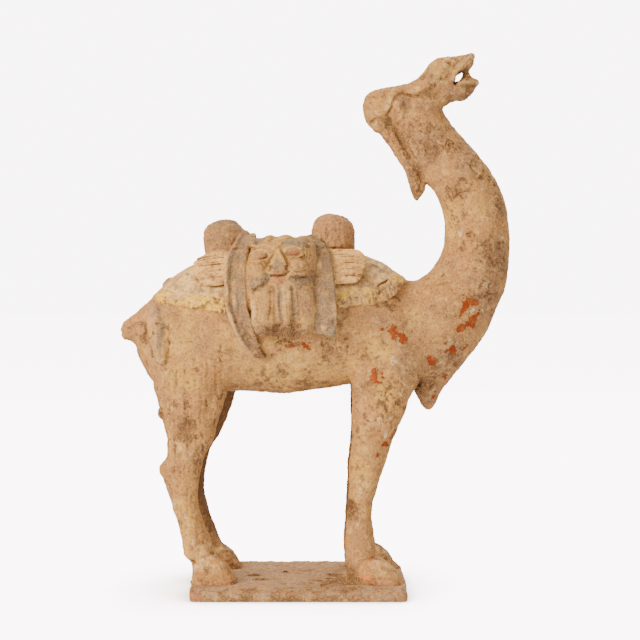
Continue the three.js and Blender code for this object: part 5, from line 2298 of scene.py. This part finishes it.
@dataclass(frozen=True)
class Studio:
    """The camera, a pale floor, a white dome around them, and soft lights."""

    camera_place: Point = (0.0164, -1.120, 0.2316)
    camera_pitch: float = 0.825
    lens: float = 78.1
    sensor: float = 36.0
    floor_size: float = 40.0
    dome_radius: float = 40.0
    floor_colour: tuple = (0.9, 0.9, 0.9)
    floor_glow: tuple = (7.8, 7.0, 7.6)
    floor_shade: tuple = (0.5, 0.4, 0.35)
    shade_reach: float = 0.08
    dome_glow: tuple = (8.2, 7.4, 7.8)
    room_colour: tuple = (1.0, 0.83, 0.63)
    room_strength: float = 0.84
    panels: tuple = (
        ("key_light", (-1.85, -1.5, 1.35), 136.0, 1.4, (1.0, 0.775, 0.49)),
        ("floor_bounce", (0.1, -1.0, -1.1), 34.0, 1.8, room_colour),
        ("back_light", (1.0, 1.1, 1.8), 60.0, 1.4, (1.0, 0.86, 0.68)),
    )
    aim: Point = (0, 0, 0.2)

    def build(self) -> None:
        """Set up the studio."""
        self.camera()
        self.floor()
        self.dome()
        self.lights()

    def camera(self) -> None:
        """Place the camera at the photograph's viewpoint."""
        data = bpy.data.cameras.new("camera")
        data.lens = self.lens
        data.sensor_width = self.sensor
        data.clip_start = 0.01
        data.clip_end = 100
        camera = bpy.data.objects.new("camera", data)
        camera.location = self.camera_place
        camera.rotation_euler = (math.radians(90 - self.camera_pitch), 0, 0)
        bpy.context.scene.collection.objects.link(camera)
        bpy.context.scene.camera = camera

    def floor(self) -> None:
        """Lay a plain pale floor that glows evenly, with a contact shadow painted into its glow."""
        half = self.floor_size / 2
        corners = np.array([(-half, -half, 0), (half, -half, 0), (half, half, 0), (-half, half, 0)])
        floor = object_of(mesh_of("studio_floor", corners, np.array([(0, 1, 2, 3)])))
        material = bpy.data.materials.new("studio_floor_white")
        bench = Bench(material)
        # Painted shadow: ambient occlusion darkens the glow towards the shade colour near the slab.
        shelter = bench.node("ShaderNodeAmbientOcclusion", {"samples": 12}, {"Distance": self.shade_reach})
        open_sky = Signal(bench, shelter.outputs["AO"])
        glow = bench.mix(open_sky * open_sky * open_sky, self.floor_shade, self.floor_glow)
        looks = {
            "Base Color": (*self.floor_colour, 1.0), "Roughness": 0.9, "Emission Color": glow,
            "Emission Strength": 1.0,
        }
        bench.finish(bench.node("ShaderNodeBsdfPrincipled", inputs=looks))
        floor.data.materials.append(material)
        self.behind_all(floor)

    def dome(self) -> None:
        """Stand a plain white dome far behind everything."""
        levels, sides, reach = 25, 48, 0.48 * math.pi
        points, faces = globe(np.linspace(-reach, reach, levels), sides)
        dome = object_of(mesh_of("studio_dome", self.dome_radius * points, faces))
        material = bpy.data.materials.new("studio_dome_white")
        bench = Bench(material)
        light = {"Color": (*self.dome_glow, 1.0), "Strength": 1.0}
        bench.finish(bench.node("ShaderNodeEmission", inputs=light))
        dome.data.materials.append(material)
        self.behind_all(dome)

    @staticmethod
    def behind_all(thing: bpy.types.Object) -> None:
        """Keep the glow of a part of the studio off the figure.

        Args:
            thing: the floor or the dome.
        """
        for ray in ("diffuse", "glossy", "transmission", "shadow"):
            setattr(thing, f"visible_{ray}", False)

    def lights(self) -> None:
        """Hang the soft lights, the strongest at the upper left, in an evenly lit room."""
        world = bpy.data.worlds.new("studio_world")
        bpy.context.scene.world = world
        world.use_nodes = True
        background = world.node_tree.nodes["Background"]
        background.inputs["Color"].default_value = (*self.room_colour, 1.0)
        background.inputs["Strength"].default_value = self.room_strength
        for panel in self.panels:
            self.panel(*panel)

    def panel(self, name: str, place: Point, energy: float, size: float, colour: tuple) -> None:
        """Add a square light that faces the figure.

        Args:
            name: its name.
            place: where it hangs.
            energy: its power in watts.
            size: its side.
            colour: its colour.
        """
        data = bpy.data.lights.new(name, "AREA")
        data.energy = energy
        data.color = colour
        data.size = size
        light = bpy.data.objects.new(name, data)
        light.location = place
        aim = np.array(self.aim) - place
        flat = math.hypot(aim[0], aim[1])
        light.rotation_euler = (math.atan2(flat, -aim[2]), 0, math.atan2(-aim[0], aim[1]))
        bpy.context.scene.collection.objects.link(light)


CRUSTS = (
    Spot(119.2, 354, 5, 4.6), Spot(133.5, 340.5, 5, 7, 0.8), Spot(126, 315, 8, 7, 0.7),
    Spot(104.8, 350.6, 8, 9, 0.35, 0.6), Spot(115.2, 410.2, 5, 4, 0.35), Spot(154.5, 266, 8, 12),
    Spot(151.7, 238, 8, 10, 0.9), Spot(136, 282, 6, 4.4, 0.8), Spot(92, 374, 9, 10, 0.5),
    Spot(92, 356, 8, 8, 0.45), Spot(158, 306, 5, 14, 0.6, 0.2), Spot(-86.8, 135.4, 7, 6.4),
    Spot(-94, 125.1, 5.6, 5.4), Spot(-68.7, 21.5, 3.6, 3.2, 0.8), Spot(40, 17, 5.5, 9, 0.8),
    Spot(-9, 199, 14, 5, 0.7), Spot(70, 152, 15, 22, 0.6), Spot(102, 162, 10, 12, 0.75),
    Spot(30, 161, 24, 5, 0.5), Spot(-20, 161, 32, 4, 0.35), Spot(68, 232, 16, 7, 0.6),
    Spot(-58, 190, 7, 12, 0.6, -0.4), Spot(20, 196, 8, 12, 0.6), Spot(-123, 202, 5, 6, 0.6),
    Spot(93, 324, 6, 12, 0.5), Spot(118, 196, 14, 16, 0.5),
)
BODY_FLAKES = (
    Flake((
        (132, 234.5), (135, 233.5), (136.5, 232), (139, 233), (141, 230), (139.5, 226.5), (136, 228),
        (133, 227), (131.5, 224), (128, 220.5), (127, 217), (124.8, 217), (126.5, 222), (128, 227),
        (128.5, 229.5), (130.5, 231),
    )),
    Flake((
        (142, 224), (142.8, 222.5), (140, 217), (138.5, 211), (136.5, 210), (134, 211), (130, 208.5),
        (128.5, 206), (124, 206.5), (122.8, 209.5), (126, 212.5), (131, 213), (133.5, 215.5), (133, 218),
        (137, 219.5), (139.5, 221.5),
    )),
    Flake((
        (68, 209), (71, 209.5), (73, 212.5), (75.5, 211.5), (76, 208), (78.5, 206.5), (82, 204.5),
        (85, 202), (84.8, 199.8), (82.5, 199), (81, 196.5), (79, 197.8), (78.8, 202), (76, 204),
        (75, 200.5), (73, 200.8), (72.5, 204.5), (69.5, 207),
    )),
    Flake(((63.2, 209.8), (65.8, 209.6), (65.6, 207.8), (63.8, 207.8))),
    Flake((
        (100.5, 186), (101.5, 188.5), (104.5, 187.5), (105, 186), (107.5, 186.5), (107.8, 181.5),
        (106, 179.5), (103.5, 180), (101, 182), (99.5, 184),
    )),
    Flake((
        (115, 190.5), (117.5, 193), (118.5, 195.5), (122.5, 195.5), (123, 193), (124, 191.5),
        (122, 188.5), (120, 190), (117.5, 191.8),
    )),
    Flake(((128, 192.5), (131, 194), (133.5, 197), (134, 195.5), (131, 192.5), (129, 191.8)), 0.8),
    Flake(((115.5, 171.8), (118.2, 172), (117.2, 169.2), (115.5, 167.6), (113.8, 169.5)), 0.9),
    Flake(((105.2, 152.5), (107.3, 156.8), (109.2, 156), (108.2, 153), (106.5, 150.8)), 0.8),
    Flake((
        (56.5, 175), (58, 178), (60.5, 178), (60.2, 173), (61, 169.5), (64, 167.5), (61.5, 165.5),
        (59, 167.5), (55.5, 169), (55.3, 172),
    )),
    Flake(((64.4, 175.7), (66.2, 174.7), (65.7, 170.8), (64.2, 171.2)), 0.9),
    Flake(((64.5, 119), (66.5, 121.5), (70, 120.5), (69.5, 117.5), (66.5, 116.8))),
    Flake(((70.5, 123), (73, 127), (75.5, 129.5), (75.2, 126.3), (72, 122.3)), 0.95),
    Flake(((60, 112), (61, 113.5), (62.8, 112), (61.5, 108.8), (60.2, 109.8)), 0.95),
    Flake(((-10.5, 196.4), (-7, 197.2), (-3, 196.8), (-3.2, 195), (-6.5, 194.6), (-9.8, 194.2))),
    Flake(((1.4, 198.6), (4.8, 198.1), (7.7, 195.3), (8.8, 193.1), (6.2, 193.5), (2.8, 195.4))),
    Flake(((126.6, 273.6), (128.4, 274), (129.4, 272.6), (127.6, 272)), 0.9),
)
BODY_SLIPS = (
    Spot(73.5, 185, 3.6, 5.4, 0.8), Spot(135.5, 223.4, 3.2, 2.6, 0.8), Spot(146.8, 243.6, 2.8, 2.4, 0.9),
    Spot(144.6, 223.2, 1.8, 1.4), Spot(127.4, 284, 2.2, 2.2), Spot(118.6, 200.4, 3, 1.8, 0.8),
    Spot(62.4, 138.3, 2.2, 4.2, 0.8), Spot(67.7, 127.2, 1.8, 3.8), Spot(70.3, 139, 1.8, 2.4, 0.8),
    Spot(78.3, 158.4, 2.2, 2.2, 0.8), Spot(61.1, 115.6, 1.3, 1.6), Spot(-88.8, 62, 1.2, 6, 0.8),
    Spot(-85.6, 52, 1.4, 7, 0.8), Spot(-83, 43, 1.8, 5, 0.7), Spot(-97, 74, 1.4, 5, 0.8),
    Spot(144, 318, 3, 4, 0.5), Spot(116, 346.5, 4, 3.4, 0.45), Spot(161, 281, 1.6, 2, 0.8),
    Spot(46, 56, 2, 6, 0.7), Spot(48, 84, 3, 8, 0.6), Spot(113, 336, 3, 4, 0.45),
)
BODY_SOILS = (
    # The first spot, in the hollow under the chest tuft, is soil and painted shade.
    Spot(97, 164, 6, 7, 0.8, 0.5), Spot(40, 17, 6, 10, 0.8), Spot(-123, 201, 3, 4, 0.5),
    Spot(-87, 130, 9, 12, 0.7), Spot(60, 190, 20, 16, 0.25), Spot(40, 67, 4.4, 8, 0.95, 0.3),
    Spot(104, 348, 10, 12, 0.4), Spot(160, 304, 4, 12, 0.4, 0.2), Spot(83, 366, 6, 10, 0.4),
    Spot(84.5, 387, 5, 5, 0.6), Spot(92, 318, 5, 6, 0.7), Spot(94, 334, 5, 12, 0.5, -0.3),
    Spot(146, 266, 9, 12, 0.35), Spot(30, 160, 30, 6, 0.4), Spot(-60, 160, 8, 9, 0.6),
    Spot(74, 226, 9, 3, 0.45), Spot(64, 218, 5, 7, 0.4),
)
BODY_PATCHES = (
    Patch(Finish.MAUVE, (
        Spot(156, 264, 13, 20, 0.95), Spot(150, 236, 13, 18, 0.9), Spot(118, 180, 20, 18, 0.8),
        Spot(103, 158, 13, 15, 0.85), Spot(84, 180, 10, 20, 0.8), Spot(102, 354, 20, 18, 0.85),
        Spot(130, 398, 12, 7, 0.95), Spot(118, 262, 12, 16, 0.4), Spot(134, 344, 12, 18, 0.7),
        Spot(88, 336, 9, 22, 0.9, -0.3), Spot(158, 306, 8, 22, 0.6, 0.2), Spot(84.5, 387, 7, 6, 0.8),
        Spot(98, 384, 14, 7, 0.5), Spot(64, 216, 9, 10, 0.6),
    )),
    Patch(Finish.SAND, (
        Spot(0, 178, 44, 14, 0.8), Spot(62, 194, 14, 12, 0.8), Spot(-100, 205, 22, 20, 0.9),
        Spot(-40, 200, 26, 16, 0.6), Spot(66, 158, 12, 12, 0.7), Spot(98, 212, 16, 12, 0.5),
        Spot(116, 296, 10, 20, 0.7), Spot(-92, 170, 16, 16, 0.6), Spot(62, 384, 10, 12, 0.35),
        Spot(112, 416, 14, 8, 0.8), Spot(-90, 60, 8, 30, 0.6), Spot(50, 90, 8, 30, 0.5),
        Spot(140, 302, 10, 12, 0.4),
    )),
    Patch(Finish.PINK, (
        Spot(58, 27, 8, 3.4, 0.75, -0.1), Spot(66, 12.6, 8, 2.6, 0.9), Spot(-127, 219, 9, 3.6, 0.4, 0.5),
        Spot(-54, 14, 5, 5, 0.6), Spot(-70, 11.6, 12, 2.4, 0.6), Spot(-70, 30, 6, 3, 0.6),
        Spot(-115, 215, 3.4, 10, 0.6),
    )),
    Patch(Finish.HAIR, (Spot(-112, 222, 7, 7, 0.8),)),
    Patch(Finish.GLOW, (
        Spot(52.6, 16.4, 4, 3, 1, -0.6), Spot(58, 14, 3, 1.6, 0.8, 0.5), Spot(52, 26, 3, 1.8, 0.7, 0.6),
    )),
    # The spots at x 71 and x 86 paint a highlight along the ear's ridge.
    Patch(Finish.CREAM, (
        Spot(118, 420, 18, 8, 0.45), Spot(106, 408, 12, 6, 0.5, -0.6), Spot(-2, 182, 26, 9, 0.2),
        Spot(-66, 30, 14, 12, 0.5), Spot(-92, 118, 10, 14, 0.3), Spot(66, 22, 10, 7, 0.5),
        Spot(63.4, 371.6, 5, 4.4, 0.5), Spot(71, 390, 3.4, 10, 0.4, -0.3),
        Spot(86, 400.4, 12, 2.4, 0.35, -0.1),
    )),
    Patch(Finish.HAIR, (Spot(-111.6, 204, 5, 17, 0.6, -0.12),)),
    Patch(Finish.GREY, (Spot(-107.8, 203, 2.8, 13, 1, -0.1),)),
    # Painted shadow: dark lines along both sides of the tail's lock.
    Patch(Finish.BROWN, (Spot(-101.6, 199, 0.8, 14, 0.6, -0.02), Spot(-116.8, 196, 0.8, 10, 0.5, -0.25))),
    Patch(Finish.CREAM, (Spot(-107.2, 184.6, 3, 2.4, 0.7), Spot(-115.6, 200, 1.2, 10, 0.35, -0.2))),
)
LOAD_CRUSTS = (
    Spot(-78, 230.5, 22, 3.4, 0.45, -0.08), Spot(46, 233, 20, 4, 0.4, 0.3), Spot(-16, 204, 24, 9, 0.9),
    Spot(-27, 198, 10, 8, 0.8), Spot(-28, 236, 5, 4, 0.5), Spot(-30, 191, 6, 7, 0.7),
    Spot(2, 256, 6, 5, 0.5),
)
LOAD_SOILS = (Spot(-16, 206, 22, 8, 0.45), Spot(-20, 222, 7, 7, 0.25), Spot(-29, 189, 6, 6, 0.5))
LOAD_PATCHES = (
    Patch(Finish.HAIR, (
        Spot(42, 229, 20, 8, 0.8, 0.2), Spot(68, 237, 20, 9, 0.85, 0.6), Spot(79, 244, 8, 7, 0.75, 0.6),
    )),
    Patch(Finish.SAND, (Spot(60, 233, 26, 10, 0.45, 0.4),)),
    Patch(Finish.ROSE, (Spot(-29.2, 264.8, 3.4, 2, 1, -0.3),)),
    Patch(Finish.SLATE, (Spot(-26.4, 265.8, 1.6, 1.2, 0.9, -0.3),)),
    Patch(Finish.GREY, (Spot(-4, 277, 9, 4, 0.9), Spot(-33, 278, 7, 3.4), Spot(-43, 281, 6, 8))),
    # Painted shade: slate on top of the rear hump darkens it against the front one.
    Patch(Finish.SLATE, (Spot(-58, 293, 14, 4, 0.8),)),
    Patch(Finish.GREY, (Spot(22, 208, 8, 4.5), Spot(0, 248, 9, 5, 0.5), Spot(-30, 245, 8, 5, 0.5))),
    Patch(Finish.ROSE, (Spot(-15.5, 247, 6, 4, 0.8), Spot(-22, 229, 5, 9, 0.4))),
    Patch(Finish.MAUVE, (Spot(3.2, 232, 6.4, 12, 0.85), Spot(11, 244, 4, 18, 0.5))),
    Patch(Finish.SLATE, (Spot(1.6, 247, 8.4, 3.2), Spot(-16.4, 259.4, 3.4, 6, 0.45))),
    Patch(Finish.CREAM, (Spot(-35.4, 222, 2.4, 10, 0.9, 0.15), Spot(-9.5, 234, 3, 9, 0.5))),
    # The spot at x -58, z 281 darkens the rear hump as painted shade.
    Patch(Finish.MAUVE, (
        Spot(-16, 205, 26, 9, 0.9), Spot(-30, 190, 8, 8), Spot(58, 243, 8, 2.6, 0.6, -0.5),
        Spot(-58, 281, 18, 12, 0.9), Spot(-72, 249, 14, 3, 0.5),
    )),
    Patch(Finish.SLATE, (
        Spot(-52.4, 252, 1.6, 14, 0.6, -0.1), Spot(-47.6, 226, 1.8, 14, 0.6, 0.1),
        Spot(-41, 206, 2, 10, 0.6, 0.45), Spot(18.4, 260, 3, 9, 0.6, -0.15), Spot(23, 226, 1.6, 14, 0.5),
        Spot(-43, 272, 3, 8, 0.6, 0.5),
    )),
    Patch(Finish.MAUVE, (
        Spot(-49, 243.4, 8, 3.4, 0.7), Spot(-49.5, 262, 3, 7, 0.6, 0.3), Spot(21, 238, 6, 7, 0.5),
        Spot(-45, 214, 2.4, 8, 0.5, 0.3),
    )),
    # Painted highlights: pale streaks along the bands and on the rear band's outer rim.
    Patch(Finish.CREAM, (
        Spot(-50, 234, 1.4, 9, 0.6, 0.05), Spot(15.4, 257, 1.6, 5, 0.7, -0.2),
        Spot(-55, 236, 1.2, 5, 0.8), Spot(18.6, 210, 2, 2.6, 0.7, 0.6), Spot(-52, 218, 1.2, 8, 0.5, 0.3),
    )),
    Patch(Finish.BAND, (
        Spot(-88, 240.4, 12, 2.8, 0.5, -0.2), Spot(-70, 238.6, 10, 2.6, 0.55),
        Spot(62, 260, 12, 3, 0.5, 0.6), Spot(50, 243, 7, 2.6, 0.45),
    )),
    Patch(Finish.CREAM, (Spot(60, 246, 10, 3, 0.3, 0.4), Spot(-82, 243, 10, 2, 0.35, -0.2))),
    Patch(Finish.GREY, (
        Spot(68, 257, 13, 1.4, 0.6, 0.6), Spot(70, 252, 13, 1.2, 0.35, 0.6),
        Spot(-84, 251, 16, 1.4, 0.35, -0.25),
    )),
    Patch(Finish.ROSE, (Spot(56, 248, 8, 3, 0.35, 0.4), Spot(-60, 234, 9, 4, 0.5))),
)
SLAB_SHADE_AND_PATCHES = (
    # Painted shade: mauve and brown darken the slab's front face; the rose spots are stains.
    Patch(Finish.MAUVE, (Spot(0, -8, 140, 19),)), Patch(Finish.BROWN, (Spot(0, -8, 140, 18, 0.75),)),
    Patch(Finish.ROSE, (Spot(-80, 5, 7, 5, 0.6), Spot(-10, 6, 40, 1.4, 0.35), Spot(60, 4, 20, 4, 0.4))),
)


def pieces(material: bpy.types.Material) -> list[ClayPart]:
    """List the parts of the figure.

    Args:
        material: the finish of the clay.

    Returns:
        The parts, ready to be shaped.
    """
    return [
        CamelBody(
            "camel_body", (-147, -53, 6), (172, 53, 288), 0.8, seed=11, band=6.0, crusts=CRUSTS,
            flakes=BODY_FLAKES, slips=BODY_SLIPS, soils=BODY_SOILS, patches=BODY_PATCHES,
        ),
        CamelNeck(
            "camel_neck_and_head", (46, -30, 282), (172, 30, 433), 0.55, quick_step=1.1, seed=11,
            crusts=CRUSTS, flakes=BODY_FLAKES, slips=BODY_SLIPS, soils=BODY_SOILS, patches=BODY_PATCHES,
        ),
        PackLoad(
            "saddle_and_load", (-120, -64, 176), (92, 64, 304), 0.5, quick_step=1.0, band=3.0, seed=31,
            grain=0.7, hollow_shade_and_soil=0.75, material=material, rows=RowTree(), crusts=LOAD_CRUSTS, soils=LOAD_SOILS,
            patches=LOAD_PATCHES,
        ),
        Plinth("slab", (-87, -64, -3), (87, 58, 15), 0.7, seed=41, grain=0.8, hollow_shade_and_soil=0.5, patches=SLAB_SHADE_AND_PATCHES),
    ]


def main() -> None:
    """Build the studio and the figure's pieces, and report each one."""
    logging.basicConfig(level=logging.INFO, format="%(name)s: %(message)s")
    Studio().build()
    material = FiredClay().material()
    for part in pieces(material):
        part.shape()
        piece = part.skin(material)
        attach(piece, "root")
        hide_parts(NODE)
        log.info("%s: %d faces", piece.name, len(piece.data.polygons))


if __name__ == "__main__":
    main()
